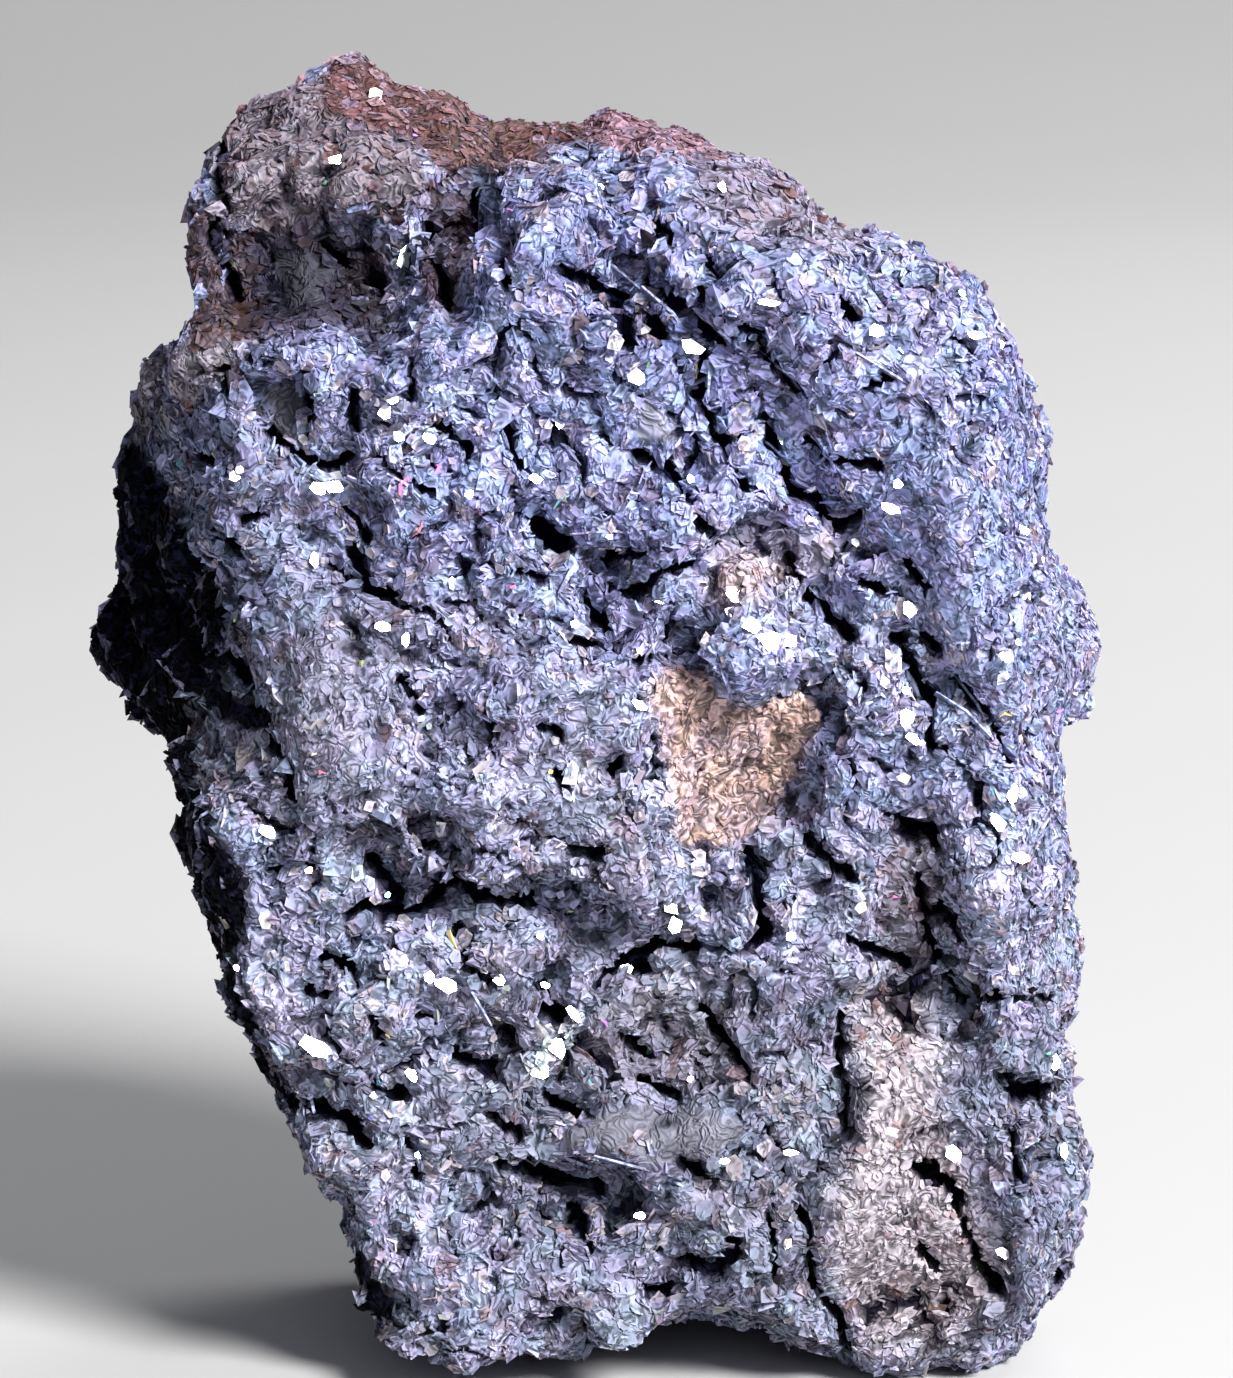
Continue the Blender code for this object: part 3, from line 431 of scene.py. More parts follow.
def surface_at(points, normals):
    """How much each point belongs to each kind of surface, as arrays from 0 to 1."""
    flat = uneven(seen(points), points)
    towards = smooth_step(-0.05, 0.25, normals @ CAMERA_FROM)
    near = {}
    for name, (corners, softness) in AREAS.items():
        depth = distance_to_line(flat, corners, closed=True)
        depth = np.where(inside(flat, corners), depth, -depth)
        near[name] = smooth_step(-softness, softness, depth) * towards
    x, _, z = points.T
    away = 1.0 - towards
    painted_low_shade = near["painted_low_shade"] * (1.0 - np.maximum(0.8 * near["grey-brown"], near["ribbon"]))
    broad = noise_at(points, 9.0, 91.0)
    blotch = noise_at(points, 4.0, 33.0)
    fine = noise_at(points, 1.6, 143.0)
    top = smooth_step(78.0, 83.0, z + 3.0 * blotch) * smooth_step(0.0, 0.5, normals[:, 2]) * away
    stained_back = away * smooth_step(0.12, 0.34, broad + 0.3 * blotch)
    crust = np.maximum(near["crust"], top)
    rust = np.maximum.reduce([
        near["rusty crust"], 0.85 * near["gash"], 0.55 * near["rim"], 0.8 * near["inner rim"],
        0.5 * near["streak"], 0.65 * stained_back,
        0.5 * near["hollow"], 0.5 * smooth_step(0.34, 0.5, fine),
        crust * smooth_step(0.1, 0.4, blotch) * away,
    ])
    # Painted shade on the left side, which faces away from the key light
    painted_left_shade = smooth_step(0.45, 0.85, -normals[:, 0]) * smooth_step(-24.0, -30.0, x)
    painted_left_shade *= smooth_step(74.0, 66.0, z)
    return {
        "cool": np.clip(
            0.15 + 0.75 * smooth_step(22.0, 72.0, z) + 0.35 * broad - 0.3 * near["left"], 0.0, 1.0),
        "crust": crust,
        "lumps": near["pink lumps"],
        "rosy": np.maximum.reduce([near["pink lumps"], 0.6 * near["crust"], 0.55 * near["pink tinge"],
                                   0.5 * top, 0.45 * near["block"]]),
        **{name: near[name] for name in EVEN},
        "ochre": np.maximum(near["ochre"], 0.55 * near["pink"] * smooth_step(-0.15, 0.25, blotch)),
        "earthy": np.maximum.reduce([
            0.9 * near["grey-brown"], 0.8 * near["ledge"], 0.85 * near["block"], 0.5 * near["pink"],
            0.16 * near["plateau"], 0.60 * near["pink tinge"], 0.6 * near["rim"], 0.35 * near["speckled"]]),
        "rust": rust,
        # Painted shade on the left flank and side, the hollow and the low right; a darker tone in the other
        # areas
        "dark": np.maximum.reduce([
            0.40 * near["block"], 0.24 * near["pink tinge"],
            0.82 * near["hollow"], 0.45 * near["gash"], 0.55 * near["rim"], 0.985 * near["flank"],
            0.6 * painted_left_shade, 0.35 * near["speckled"], 0.8 * near["smooth patch"], 0.28 * painted_low_shade,
            0.20 * near["left"],
            0.55 * near["inner rim"], 0.35 * near["ledge"]]),
        "fine": np.maximum.reduce([near["plateau"], near["grey-brown"], smooth_step(17.0, 25.0, x)]),
        "bare": np.maximum.reduce([0.95 * near["lens"], near["smooth patch"], near["smooth hollow"],
                                   0.8 * near["grey spot"]]),
        # Pale plates and painted highlight over the ribbon, the knob, the ridge and the shine
        "bright": np.maximum.reduce([
            near["ribbon"], 0.12 * near["knob"], 0.45 * near["ridge"], 0.40 * near["shine"]]),
    }


def level_off(points, share, lift):
    """Draws the points' depth towards one gently curved surface, where share is 1."""
    here = share > 0.5
    across, up = points[:, 0], points[:, 2]
    plan = np.column_stack([across, up, across**2, across * up, up**2, np.ones(len(points))])
    slope, *_ = np.linalg.lstsq(plan[here], points[here, 1], rcond=None)
    depth = plan @ slope + lift + 0.35 * noise_at(points, 1.4, 67.0)
    points[:, 1] += np.where(share > 0.0, 0.85 * share * (depth - points[:, 1]), 0.0)


def make_stone():
    """The rock itself: a fine remesh of the solid, with its crevices and grain."""
    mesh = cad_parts[NODE].data.copy()
    work = bmesh.new()
    work.from_mesh(mesh)
    bmesh.ops.remove_doubles(work, verts=work.verts, dist=0.001 * MM)
    work.to_mesh(mesh)
    work.free()
    stone = add_object("hematite_rock", mesh)
    remesh(stone, STONE_VOXEL)
    soften(stone, 0.5, 5)
    points, normals = read_points(stone.data)
    kinds = surface_at(points, normals)
    soft = np.clip(kinds["crust"] + kinds["ochre"] + kinds["bare"], 0.0, 1.0)
    height = 0.50 * noise_at(points, 2.6, 21.0) + 0.30 * noise_at(points, 1.2, 27.0)
    height *= 1.0 - 0.6 * soft
    height += (0.7 * np.abs(noise_at(points, 2.4, 77.0)) - 0.15) * kinds["crust"]
    cleft = np.clip(1.0 - np.abs(noise_at(points, 4.5, 39.0)) / 0.10, 0.0, 1.0)
    height -= 1.3 * cleft * (1.0 - soft) * smooth_step(-0.2, 0.2, noise_at(points, 8.0, 55.0))
    nick = np.clip(1.0 - np.abs(noise_at(points, 2.6, 139.0)) / 0.11, 0.0, 1.0)
    height -= 0.9 * nick * (1.0 - soft) * smooth_step(-0.1, 0.25, noise_at(points, 3.5, 155.0))
    points += height[:, None] * normals
    level_off(points, smooth_step(0.3, 0.9, kinds["ochre"]), -0.6)
    for name in EVEN:
        level_off(points, kinds[name], 0.0)
    crevice = crevices_at(points, normals)
    points[:, 1] += 3.2 * smooth_step(0.0, 0.8, crevice)
    points[:, 2] = np.maximum(points[:, 2], 0.0)
    write_points(stone.data, points)
    thin_out(stone, STONE_TRIANGLES)
    return stone


def set_values(mesh, name, values):
    attribute = mesh.attributes.new(name, "FLOAT", "POINT")
    attribute.data.foreach_set("value", values.astype(np.float32))


class Ground:
    """The stone's surface, to set plates on."""

    def __init__(self, stone):
        self.stone = stone
        self.points, self.normals = read_points(stone.data)
        self.pit = depth_in_pits(stone.data, 10)
        self.deep = depth_in_pits(stone.data, 60)
        self.tree = kdtree.KDTree(len(self.points))
        for number, point in enumerate(self.points):
            self.tree.insert(point, number)
        self.tree.balance()
        self.faces = BVHTree.FromObject(stone, bpy.context.evaluated_depsgraph_get())

    def nearest(self, places):
        """The stone's points nearest to the places, with their normals and depths in pits."""
        found = np.array([self.tree.find(place)[1] for place in places])
        return self.points[found], self.normals[found], self.pit[found], self.deep[found]

    def spread(self, spacing, shake, rng):
        """Places spread evenly over the stone."""
        grid = add_object("grid", self.stone.data.copy())
        remesh(grid, spacing)
        places, _ = read_points(grid.data)
        bpy.data.objects.remove(grid)
        places += rng.uniform(-shake, shake, places.shape)
        return self.nearest(places)

    def behind(self, right, up):
        """The stone's point that shows at this place of the picture plane, or None."""
        eye = AIM + CAMERA_FROM * CAMERA_DISTANCE
        level = np.array([0.0, math.sin(CAMERA_RISE), math.cos(CAMERA_RISE)])
        aimed = AIM + np.array([right, 0.0, 0.0]) + level * up
        line = unit(aimed - eye)
        hit = self.faces.ray_cast(Vector(eye * MM), Vector(line))[0]
        return None if hit is None else np.array(hit) / MM


class Plates:
    """Small closed solids gathered for one mesh: flat scales, and thin curved blades on edge."""

    def __init__(self):
        self.points = []
        self.loops = []
        self.sizes = []
        self.values = []
        self.count = 0

    def keep(self, points, faces, values, rim):
        """Keeps solids with the same faces, as lists of point numbers, and rim of painted light and shade."""
        count, each, _ = points.shape
        start = self.count + np.arange(count)[:, None] * each
        self.points.append(points.reshape(-1, 3))
        self.loops.append(np.hstack([start + face for face in faces]).ravel())
        self.sizes.append(np.tile([len(face) for face in faces], count))
        self.values.append(np.hstack([np.repeat(values, each, axis=0), np.tile(rim, count)[:, None]]))
        self.count += count * each

    def add_scales(self, shape, values, sides, dish, rng):
        """Adds flat scales, dished or raised in the middle, that narrow to a point below."""
        centres, facing, along, half_length, half_width = shape
        count = len(centres)
        if not count:
            return
        facing = unit(facing)
        along = unit(along - (along * facing).sum(axis=1, keepdims=True) * facing)
        across = np.cross(facing, along)
        turn = (np.arange(sides) + 0.5) * 2.0 * math.pi / sides + rng.uniform(-0.30, 0.30, (count, sides))
        reach = rng.uniform(0.78, 1.22, (count, sides))
        ring = (
            along[:, None, :] * (np.cos(turn) * reach * half_length[:, None])[..., None]
            + across[:, None, :] * (np.sin(turn) * reach * half_width[:, None])[..., None]
        )
        middle = centres - facing * (half_width * dish)[:, None]
        root = centres - facing * (half_width * 1.5)[:, None]
        points = np.concatenate([centres[:, None, :] + ring, middle[:, None, :], root[:, None, :]], axis=1)
        faces = []
        for first in range(sides):
            second = (first + 1) % sides
            faces += [[first, second, sides], [second, first, sides + 1]]
        # Painted light on the ring; painted shade in a dished middle and at the root
        rim = [1.0] * sides + [0.45 if dish >= 0.0 else 1.0, 0.0]
        self.keep(points, faces, values, rim)

    def add_blades(self, shape, values):
        """Adds thin curved blades on edge, each with a narrow upper face over a root line."""
        centres, upward, along, half_length, half_width, depth, bend = shape
        if not len(centres):
            return
        upward = unit(upward)
        along = unit(along - (along * upward).sum(axis=1, keepdims=True) * upward)
        across = np.cross(upward, along)
        points = []
        for share in (-1.0, 0.0, 1.0):
            middle = centres + along * (share * half_length)[:, None]
            middle += across * (bend * (1.0 - share**2))[:, None] - upward * (0.3 * depth * share**2)[:, None]
            side = across * (half_width * (1.0 - 0.5 * share**2))[:, None]
            points += [middle - side, middle + side, middle - upward * depth[:, None]]
        faces = [[0, 1, 2], [7, 6, 8]]
        for left in (0, 3):
            faces += [
                [left, left + 3, left + 4, left + 1], [left, left + 2, left + 5, left + 3],
                [left + 1, left + 4, left + 5, left + 2],
            ]
        # Painted light along the upper face; painted shade along the root line
        self.keep(np.stack(points, axis=1), faces, values, [1.0, 1.0, 0.0] * 3)

    def to_object(self, name):
        loops = np.concatenate(self.loops)
        sizes = np.concatenate(self.sizes)
        values = np.concatenate(self.values)
        points = np.concatenate(self.points)
        points[:, 2] = np.maximum(points[:, 2], 0.05)
        mesh = bpy.data.meshes.new(name)
        mesh.vertices.add(self.count)
        mesh.vertices.foreach_set("co", (points * MM).astype(np.float32).ravel())
        mesh.loops.add(len(loops))
        mesh.loops.foreach_set("vertex_index", loops.astype(np.int32))
        mesh.polygons.add(len(sizes))
        mesh.polygons.foreach_set("loop_start", (np.cumsum(sizes) - sizes).astype(np.int32))
        mesh.update(calc_edges=True)
        mesh.shade_flat()
        for column, value in enumerate(VALUES):
            set_values(mesh, value, values[:, column])
        mesh.calc_loop_triangles()
        print(name, len(mesh.loop_triangles), "triangles")
        return add_object(name, mesh)


SETS = ("front_top", "front_middle", "front_low", "left", "right", "back", "top")


def set_of(points, normals):
    """The number of the set, one for each side of the rock, that each point's plate belongs to."""
    front = normals[:, 1] < -0.25
    return np.select(
        [
            normals[:, 2] > 0.72,
            front & (points[:, 2] > 62.0),
            front & (points[:, 2] > 33.0),
            front,
            (normals[:, 0] < -0.3) & (normals[:, 1] < 0.62),
            (normals[:, 0] > 0.3) & (normals[:, 1] < 0.62),
        ],
        [6, 0, 1, 2, 3, 4],
        5,
    )


def grow_plates(sets, ground, rng):
    """Covers the stone with plates, most lying and some on edge, that swirl in bundles."""
    front = ground.spread(FRONT_SPACING, 0.24, rng)
    far = ground.spread(FAR_SPACING, 0.36, rng)
    wanted = set_of(front[0], front[1]) <= 2
    left_over = set_of(far[0], far[1]) > 2
    points, normals, pit, deep = (
        np.concatenate([a[wanted], b[left_over]]) for a, b in zip(front, far, strict=True)
    )
    coarse = np.concatenate([np.zeros(wanted.sum()), np.ones(left_over.sum())])
    kinds = surface_at(points, normals)
    crevice = crevices_at(points, normals)
    count = len(points)
    cover = 0.52 + 0.40 * coarse - 0.2 * kinds["ochre"] - 0.15 * kinds["crust"] - 0.1 * kinds["earthy"]
    cover += 0.9 * kinds["bright"] - 0.6 * kinds["bare"] - 0.1 * kinds["dark"]
    keep = rng.random(count) < np.clip(cover, 0.03, 1.0)
    keep &= pit < rng.uniform(0.15, 0.6, count)
    keep &= crevice < rng.uniform(0.05, 0.4, count)
    keep &= points[:, 2] > 0.9
    points, normals, pit, deep, coarse, crevice = (
        a[keep] for a in (points, normals, pit, deep, coarse, crevice)
    )
    kinds = {name: share[keep] for name, share in kinds.items()}
    count = len(points)
    swirl = unit(noise_vectors(points, 5.0, 13.0) + 0.5 * noise_vectors(points, 2.0, 63.0))
    wild = unit(rng.normal(size=(count, 3)))
    along = unit(unit(noise_vectors(points, 2.2, 103.0)) + 0.35 * unit(rng.normal(size=(count, 3))))
    size = np.exp(rng.normal(0.0, 0.30, count)) * (1.0 + 0.55 * coarse)
    size *= 1.0 - 0.22 * kinds["fine"] - 0.25 * kinds["crust"]
    earthy = np.clip(kinds["ochre"] + kinds["crust"] + 0.6 * kinds["earthy"], 0.0, 1.0)
    crumb = rng.random(count) < 0.8 * earthy
    on_edge = (rng.random(count) < 0.34 - 0.14 * coarse) & ~crumb
    flat = ~on_edge & ~crumb

    patch = noise_at(points, 1.3, 223.0)
    tint = 0.58 + 0.05 * rng.normal(size=count) + 0.18 * noise_at(points, 6.0, 203.0) + 0.34 * patch
    # Blades a little lighter; all plates lighter towards the right, a painted light where the key light falls
    tint = np.where(on_edge, tint + 0.06, tint) + 0.0008 * (points[:, 0] + 5.0)
    # Near-white plates in the bright areas, partly a painted highlight
    tint = np.where(kinds["bright"] > rng.random(count), 0.96, np.minimum(tint, 0.90))
    # Painted shade on the plates: darker in pits, deep hollows, crevices and the shaded areas
    painted_pit_shade = smooth_step(-0.06, 0.25, pit) * (1.0 - 0.6 * kinds["earthy"])
    shade = (1.0 - 0.85 * painted_pit_shade) * (1.0 - 0.5 * smooth_step(0.0, 1.6, deep))
    shade *= (1.0 - kinds["dark"]) * (1.0 - 1.8 * np.clip(crevice, 0.0, 0.5))
    stain = np.clip(0.95 * kinds["crust"] + kinds["ochre"] + kinds["earthy"] + 0.85 * kinds["rust"], 0.0, 1.0)
    stain = stain * rng.uniform(0.7, 1.15, count)
    rusty = (noise_at(points, 3.0, 301.0) > 0.12) & (rng.random(count) < 0.22)
    stain = np.where(rusty, np.maximum(stain, 0.75), stain)
    warmth = np.maximum(kinds["rust"], 0.45 * kinds["crust"]) + rng.normal(0.0, 0.12, count)
    # Rare plates with a painted coloured glint
    painted_glint_hue = np.where(rng.random(count) < 0.003, rng.uniform(0.05, 1.0, count), 0.0)
    # A few random plates are glints: white, a painted highlight, and glossy
    glint = rng.random(count) < 0.012 * (1.0 - np.maximum(stain, kinds["bare"]))
    tint = np.where(glint, 1.0, tint)
    gloss = np.where(glint, 1.0, rng.uniform(0.0, 0.4, count))
    values = np.stack(
        [tint, kinds["cool"], shade, stain, warmth, kinds["ochre"], kinds["rosy"], painted_glint_hue, gloss], axis=1
    )
    values = np.clip(values, 0.0, 1.0)

    facing = 3.6 * normals + 0.45 * swirl + 0.20 * wild
    half_length = np.clip(0.46 * size * rng.uniform(0.8, 1.3, count), 0.18, 1.4)
    half_length = np.where(painted_glint_hue > 0.0, 0.22, half_length)
    half_width = np.clip(half_length * rng.uniform(0.5, 0.9, count), 0.12, 0.9)
    half_length = np.where(crumb, rng.uniform(0.16, 0.34, count), half_length)
    half_width = np.where(crumb, half_length * rng.uniform(0.6, 1.0, count), half_width)
    upward = 2.0 * normals + 0.4 * wild
    lengths = np.clip(0.38 * size * rng.uniform(0.7, 1.5, count), 0.2, 1.0)
    widths = rng.uniform(0.08, 0.13, count) * (1.0 + 0.5 * coarse)
    depth = rng.uniform(0.3, 0.5, count)
    bend = lengths * rng.uniform(-0.8, 0.8, count)
    side = set_of(points, normals)
    for number, name in enumerate(SETS):
        here = side == number
        lower, raised = points + 0.10 * normals, points + 0.28 * normals
        for sides in (4, 5, 6):
            part = here & flat & (np.arange(count) % 3 == sides - 4)
            shape = [a[part] for a in (lower, facing, along, half_length, half_width)]
            sets[name].add_scales(shape, values[part], sides, 0.10, rng)
        part = here & crumb
        shape = [a[part] for a in (lower, facing, along, half_length, half_width)]
        sets[name].add_scales(shape, values[part], 5, -0.35, rng)
        part = here & on_edge
        shape = [a[part] for a in (raised, upward, along, lengths, widths, depth, bend)]
        sets[name].add_blades(shape, values[part])


def grow_front_features(sets, ground, rng):
    """The bright plates, coloured glints and long blades of the front, where the rock shows them."""
    # The glints' white and colours are painted highlights, on plates turned towards the key light
    half_way = unit(unit(KEY_FROM) + CAMERA_FROM)
    metal = [0.6, 1.0, 0.0, 0.0, 0.0, 0.0]
    scales = [(*place, math.radians(turn), 1.0, 0.0) for *place, turn in GLINTS]
    scales += [(right, up, 0.28, 0.22, right, 0.9, hue) for right, up, hue in FIRES]
    for right, up, half_length, half_width, turn, tint, hue in scales:
        middle = ground.behind(right, up)
        if middle is None:
            continue
        along = np.array([[math.cos(turn), 0.0, -math.sin(turn)]])
        facing = unit(half_way + rng.normal(0.0, 0.05, 3))[None]
        middle = middle + 0.75 * CAMERA_FROM
        shape = (middle[None], facing, along, np.array([half_length]), np.array([half_width]))
        sets[set_name(middle)].add_scales(shape, np.array([[tint, *metal, hue, 1.0]]), 6, 0.0, rng)
    for x0, z0, x1, z1, half_width in BLADES:
        start, end = ground.behind(x0, z0), ground.behind(x1, z1)
        middle = ground.behind((x0 + x1) / 2, (z0 + z1) / 2)
        if start is None or end is None or middle is None:
            continue
        along = end - start
        half_length = min(np.linalg.norm(along) / 2, 1.15 * math.hypot(x1 - x0, z1 - z0) / 2)
        upward = unit(half_way + rng.normal(0.0, 0.15, 3))[None]
        middle = middle + 0.30 * CAMERA_FROM
        sizes = [np.array([size]) for size in (half_length, half_width * 0.6, 0.6, 0.1 * half_length)]
        values = np.array([[0.62, *metal, 0.0, 0.3]])
        sets[set_name(middle)].add_blades((middle[None], upward, along[None], *sizes), values)


def set_name(point):
    return SETS[int(set_of(point[None], np.array([[0.0, -1.0, 0.0]]))[0])]


class Nodes:
    """Short ways to add and join a material's nodes."""

    def __init__(self, name):
        self.material = bpy.data.materials.new(name)
        self.material.use_nodes = True
        self.tree = self.material.node_tree
        self.shader = self.tree.nodes["Principled BSDF"]
        self.place = self.add("ShaderNodeTexCoord").outputs["Object"]

    def add(self, kind, **settings):
        node = self.tree.nodes.new(kind)
        for name, value in settings.items():
            setattr(node, name, value)
        return node

    def give(self, socket, given):
        if isinstance(given, tuple):
            socket.default_value = (*given, 1.0)
        elif isinstance(given, (int, float)):
            socket.default_value = given
        else:
            self.tree.links.new(given, socket)

    def shade(self, name, given):
        """Gives the shader's own socket of this name a number, a colour or a link."""
        self.give(self.shader.inputs[name], given)

    def value(self, name):
        return self.add("ShaderNodeAttribute", attribute_name=name).outputs["Fac"]

    def math(self, operation, *given):
        node = self.add("ShaderNodeMath", operation=operation)
        for socket, one in zip(node.inputs, given, strict=False):
            self.give(socket, one)
        return node.outputs[0]

    def mix(self, share, first, second, blend="MIX"):
        node = self.add("ShaderNodeMix", data_type="RGBA", blend_type=blend)
        for number, given in ((0, share), (6, first), (7, second)):
            self.give(node.inputs[number], given)
        return node.outputs[2]

    def noise(self, size, detail=3.0, distortion=0.0):
        """Noise with lumps of about this size in millimetres."""
        node = self.add("ShaderNodeTexNoise")
        self.give(node.inputs["Scale"], 1.0 / (size * MM))
        self.give(node.inputs["Detail"], detail)
        self.give(node.inputs["Distortion"], distortion)
        self.give(node.inputs["Vector"], self.place)
        return node.outputs["Fac"]

    def ramp(self, source, *stops):
        node = self.add("ShaderNodeValToRGB")
        points = node.color_ramp.elements
        while len(points) < len(stops):
            points.new(0.5)
        for point, (position, colour) in zip(points, stops, strict=True):
            point.position = position
            point.color = (*colour, 1.0)
        self.give(node.inputs["Fac"], source)
        return node.outputs["Color"]

    def grey(self, source, low, high):
        """The source, from one brightness to another."""
        return self.ramp(source, (0.0, (low,) * 3), (1.0, (high,) * 3))

    def bump(self, height, distance, strength=1.0):
        node = self.add("ShaderNodeBump")
        self.give(node.inputs["Distance"], distance * MM)
        self.give(node.inputs["Strength"], strength)
        self.give(node.inputs["Height"], height)
        self.shade("Normal", node.outputs["Normal"])


def metal_colour(nodes, tint):
    """The silvery blue of the plates: a tint from 0 to 1, a shift of hue and fine curling lines."""
    # A tint of 1 is white, the painted highlight of the glints
    metal = nodes.ramp(
        tint, (0.00, (0.07, 0.075, 0.14)), (0.30, (0.19, 0.20, 0.33)), (0.55, (0.34, 0.36, 0.55)),
        (0.80, (0.48, 0.50, 0.72)), (0.95, (0.62, 0.65, 0.86)), (1.00, (1.0, 1.0, 1.0)),
    )
    cast = nodes.mix(nodes.value("cool"), (1.05, 1.03, 0.93), (0.93, 0.96, 1.13))
    hue = nodes.ramp(nodes.noise(2.2, 2.0), (0.38, (0.90, 1.02, 1.0)), (0.62, (1.08, 0.97, 1.02)))
    metal = nodes.mix(1.0, metal, cast, "MULTIPLY")
    return nodes.mix(1.0, metal, hue, "MULTIPLY")


def curls(nodes):
    """Fine curling bands from 0 to 1, like the edges of small intergrown plates."""
    return nodes.math("PINGPONG", nodes.math("MULTIPLY", nodes.noise(CURL_SIZE, 2.0, 0.8), CURL_COUNT), 1.0)


def curled(nodes, colour, bands, low):
    """The colour, darkened to this share between the curling bands."""
    middle = 0.5 + 0.5 * low
    line = nodes.ramp(
        bands, (0.10, (low,) * 3), (0.40, (middle,) * 3), (0.64, (1.0,) * 3), (1.0, (1.08,) * 3)
    )
    return nodes.mix(1.0, colour, line, "MULTIPLY")


def plate_material():
    nodes = Nodes("hematite_plates")
    bands = curls(nodes)
    plain = metal_colour(nodes, nodes.value("tint"))
    # Glints keep their painted white clear of the curling lines
    shines = nodes.math("GREATER_THAN", nodes.value("gloss"), 0.9)
    metal = nodes.mix(shines, curled(nodes, plain, bands, 0.32), plain)
    earth = nodes.ramp(
        nodes.value("warmth"),
        (0.00, (0.66, 0.58, 0.64)), (0.35, (0.32, 0.20, 0.20)), (0.75, (0.16, 0.075, 0.06)),
        (1.00, (0.08, 0.035, 0.03)),
    )
    stain = nodes.value("stain")
    rosy = nodes.mix(nodes.value("rosy"), earth, (0.28, 0.14, 0.17))
    ochre = nodes.mix(nodes.value("ochre"), rosy, (0.70, 0.47, 0.43))
    colour = nodes.mix(stain, metal, curled(nodes, ochre, bands, 0.40))
    # Painted coloured glints, from their hue value
    painted_glint_hue = nodes.value("painted_glint_hue")
    hue = nodes.add("ShaderNodeCombineColor", mode="HSV")
    for socket, given in zip(hue.inputs, (painted_glint_hue, 0.65, 0.9), strict=True):
        nodes.give(socket, given)
    colour = nodes.mix(nodes.math("GREATER_THAN", painted_glint_hue, 0.01), colour, hue.outputs[0])
    # Painted light and shade: plates lightest at their rims, darker towards their middles and roots
    rim = nodes.ramp(
        nodes.value("rim"), (0.0, (0.03,) * 3), (0.45, (0.76,) * 3), (0.75, (0.88,) * 3), (0.95, (1.03,) * 3)
    )
    # The painted shade value darkens the colour, and the reflection as well
    shade = nodes.mix(1.0, rim, nodes.grey(nodes.value("shade"), 0.0, 1.0), "MULTIPLY")
    colour = nodes.mix(1.0, colour, shade, "MULTIPLY")
    nodes.shade("Specular IOR Level", nodes.math("MULTIPLY", shade, 0.35))
    nodes.shade("Base Color", colour)
    metallic = nodes.math("MULTIPLY_ADD", stain, -0.14, 0.16)
    metallic = nodes.math("MULTIPLY_ADD", nodes.value("gloss"), 0.4, metallic)
    nodes.shade("Metallic", metallic)
    rough = nodes.math("MULTIPLY_ADD", nodes.value("gloss"), -0.50, 0.72)
    rough = nodes.math("MULTIPLY_ADD", stain, 0.15, rough)
    nodes.shade("Roughness", rough)
    return nodes.material


def stone_material():
    nodes = Nodes("hematite_rock")
    grain = nodes.noise(0.5, 4.0)
    broad = nodes.noise(3.0, 3.0)
    base = metal_colour(nodes, nodes.ramp(broad, (0.35, (0.40,) * 3), (0.65, (0.75,) * 3)))
    crust = nodes.ramp(
        nodes.noise(0.9, 4.0),
        (0.30, (0.05, 0.016, 0.016)), (0.48, (0.12, 0.042, 0.044)), (0.70, (0.23, 0.10, 0.115)),
    )
    lumps = nodes.ramp(grain, (0.30, (0.24, 0.13, 0.18)), (0.70, (0.54, 0.32, 0.43)))
    brown = nodes.ramp(grain, (0.34, (0.05, 0.022, 0.018)), (0.66, (0.22, 0.11, 0.10)))
    ochre = nodes.ramp(
        grain, (0.30, (0.24, 0.145, 0.11)), (0.48, (0.54, 0.36, 0.305)), (0.66, (0.80, 0.57, 0.505))
    )
    pinker = nodes.ramp(
        grain, (0.30, (0.22, 0.15, 0.165)), (0.48, (0.44, 0.32, 0.36)), (0.66, (0.66, 0.51, 0.56))
    )
    ochre = nodes.mix(nodes.ramp(broad, (0.42, (0.0,) * 3), (0.60, (1.0,) * 3)), ochre, pinker)
    earthy = nodes.ramp(
        grain, (0.30, (0.20, 0.165, 0.18)), (0.50, (0.42, 0.36, 0.40)), (0.70, (0.62, 0.55, 0.60))
    )
    bare = nodes.ramp(broad, (0.35, (0.17, 0.17, 0.215)), (0.65, (0.32, 0.32, 0.40)))
    bands = curls(nodes)
    colour = base
    kinds = (("earthy", earthy), ("crust", crust), ("lumps", lumps), ("rust", brown), ("ochre", ochre))
    for name, kind in kinds:
        colour = nodes.mix(nodes.value(name), colour, kind)
    colour = curled(nodes, colour, bands, 0.30)
    colour = nodes.mix(nodes.value("bare"), colour, curled(nodes, bare, bands, 0.7))
    # Painted shade: the pit value turns the stone near black in pits, crevices and shaded areas
    pit_shade_colour = nodes.ramp(nodes.value("pit"), (0.0, (1.0,) * 3), (1.0, (0.03, 0.03, 0.05)))
    colour = nodes.mix(1.0, colour, pit_shade_colour, "MULTIPLY")
    nodes.shade("Base Color", colour)
    nodes.shade("Metallic", 0.0)
    nodes.shade("Roughness", 0.65)
    # Painted shade on the reflection too: less specular where the pit value is high
    shine = nodes.math("MULTIPLY_ADD", nodes.value("pit"), -0.4, 0.4)
    nodes.shade("Specular IOR Level", shine)
    nodes.bump(bands, 0.26, 0.8)
    return nodes.material


def floor_material():
    nodes = Nodes("studio_floor")
    tone = nodes.grey(nodes.noise(80.0, 2.0), 0.48, 0.50)
    nodes.shade("Base Color", tone)
    nodes.shade("Roughness", 0.85)
    return nodes.material


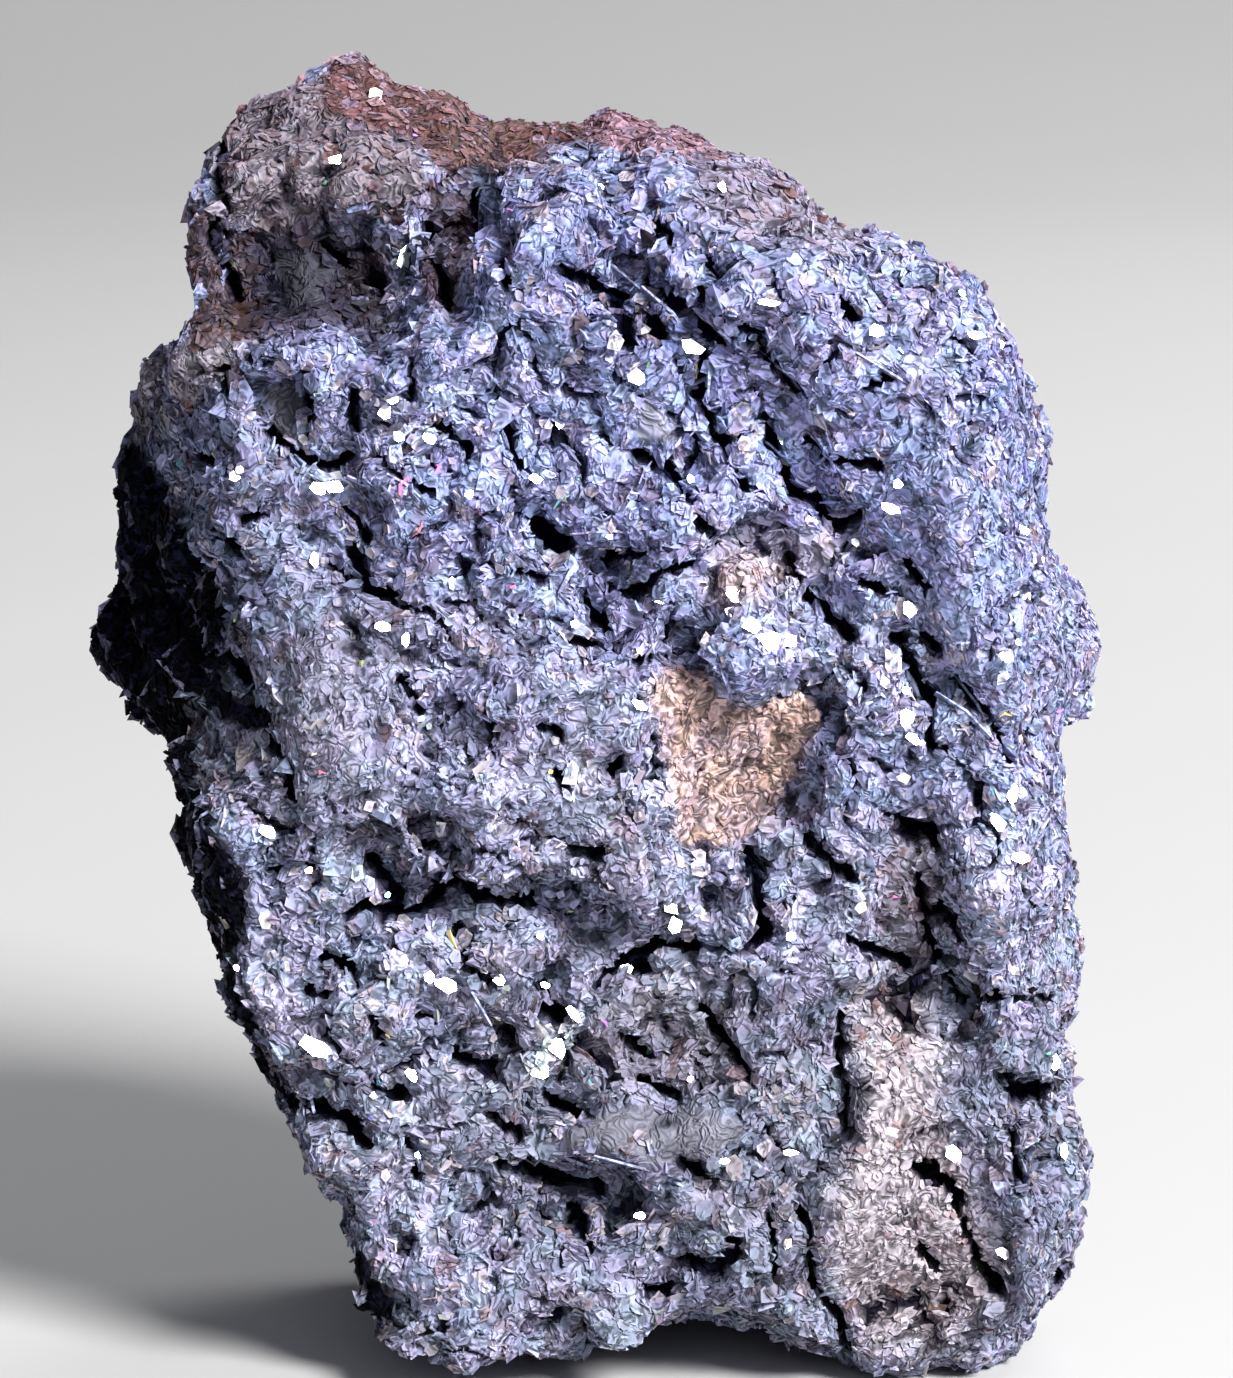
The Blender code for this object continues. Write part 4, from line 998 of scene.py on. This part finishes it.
def dress_stone(ground):
    mesh = ground.stone.data
    kinds = surface_at(ground.points, ground.normals)
    for name in ("cool", "crust", "lumps", "ochre", "earthy", "rust", "bare"):
        set_values(mesh, name, kinds[name])
    # The pit value: painted shade in pits, deep hollows and crevices, joined with the areas' darker tone and
    # shade
    pit = smooth_step(-0.05, 0.3, ground.pit) * (1.0 - 0.6 * kinds["crust"])
    pit = np.maximum(pit, 0.6 * smooth_step(0.0, 1.6, ground.deep)) * (1.0 - 0.7 * kinds["ochre"])
    crevice = smooth_step(0.0, 0.35, crevices_at(ground.points, ground.normals))
    set_values(mesh, "pit", np.maximum.reduce([pit, kinds["dark"], crevice]))
    mesh.materials.clear()
    mesh.materials.append(stone_material())
    mesh.shade_smooth()


def add_light(name, direction, distance, size, power, colour):
    lamp = bpy.data.lights.new(name, "AREA")
    lamp.shape = "DISK"
    lamp.size = size
    lamp.energy = power
    lamp.color = colour
    light = add_object(name, lamp)
    centre = Vector(AIM * MM)
    light.location = centre + Vector(direction).normalized() * distance
    light.rotation_euler = (centre - light.location).to_track_quat("-Z", "Y").to_euler()


def make_studio():
    """A pale floor that curves up into a wall, with a key, a fill and a back light."""
    bend = np.linspace(0.0, math.pi / 2, 16)
    run = [(-1.5, 0.0)] + [(0.8 + 0.9 * math.sin(a), 0.9 - 0.9 * math.cos(a)) for a in bend] + [(1.7, 3.0)]
    mesh = bpy.data.meshes.new("studio_floor")
    points = [(x, y, z) for y, z in run for x in (-3.0, 3.0)]
    faces = [(2 * i, 2 * i + 1, 2 * i + 3, 2 * i + 2) for i in range(len(run) - 1)]
    mesh.from_pydata(points, [], faces)
    mesh.shade_smooth()
    mesh.materials.append(floor_material())
    add_object("studio_floor", mesh)
    for light in LIGHTS:
        add_light(*light)
    world = bpy.data.worlds.new("studio")
    bpy.context.scene.world = world
    world.use_nodes = True
    sky = world.node_tree.nodes["Background"]
    sky.inputs["Color"].default_value = (0.80, 0.84, 0.95, 1.0)
    sky.inputs["Strength"].default_value = SKY_STRENGTH


def make_camera():
    camera = add_object("camera", bpy.data.cameras.new("camera"))
    camera.data.lens = LENS
    camera.data.sensor_width = 36.0
    camera.data.clip_start = 0.01
    centre = Vector(AIM * MM)
    camera.location = centre + Vector(CAMERA_FROM) * CAMERA_DISTANCE * MM
    camera.rotation_euler = (centre - camera.location).to_track_quat("-Z", "Y").to_euler()
    bpy.context.scene.camera = camera


def main():
    rng = np.random.default_rng(SEED)
    stone = make_stone()
    ground = Ground(stone)
    sets = {name: Plates() for name in SETS}
    grow_plates(sets, ground, rng)
    grow_front_features(sets, ground, rng)
    dress_stone(ground)
    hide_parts(NODE)
    material = plate_material()
    pieces = [stone]
    for name, plates in sets.items():
        piece = plates.to_object("plates_" + name)
        piece.data.materials.append(material)
        pieces.append(piece)
    for piece in pieces:
        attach(piece, "root")
    make_camera()
    make_studio()
    bpy.context.scene.view_settings.view_transform = "Standard"


main()
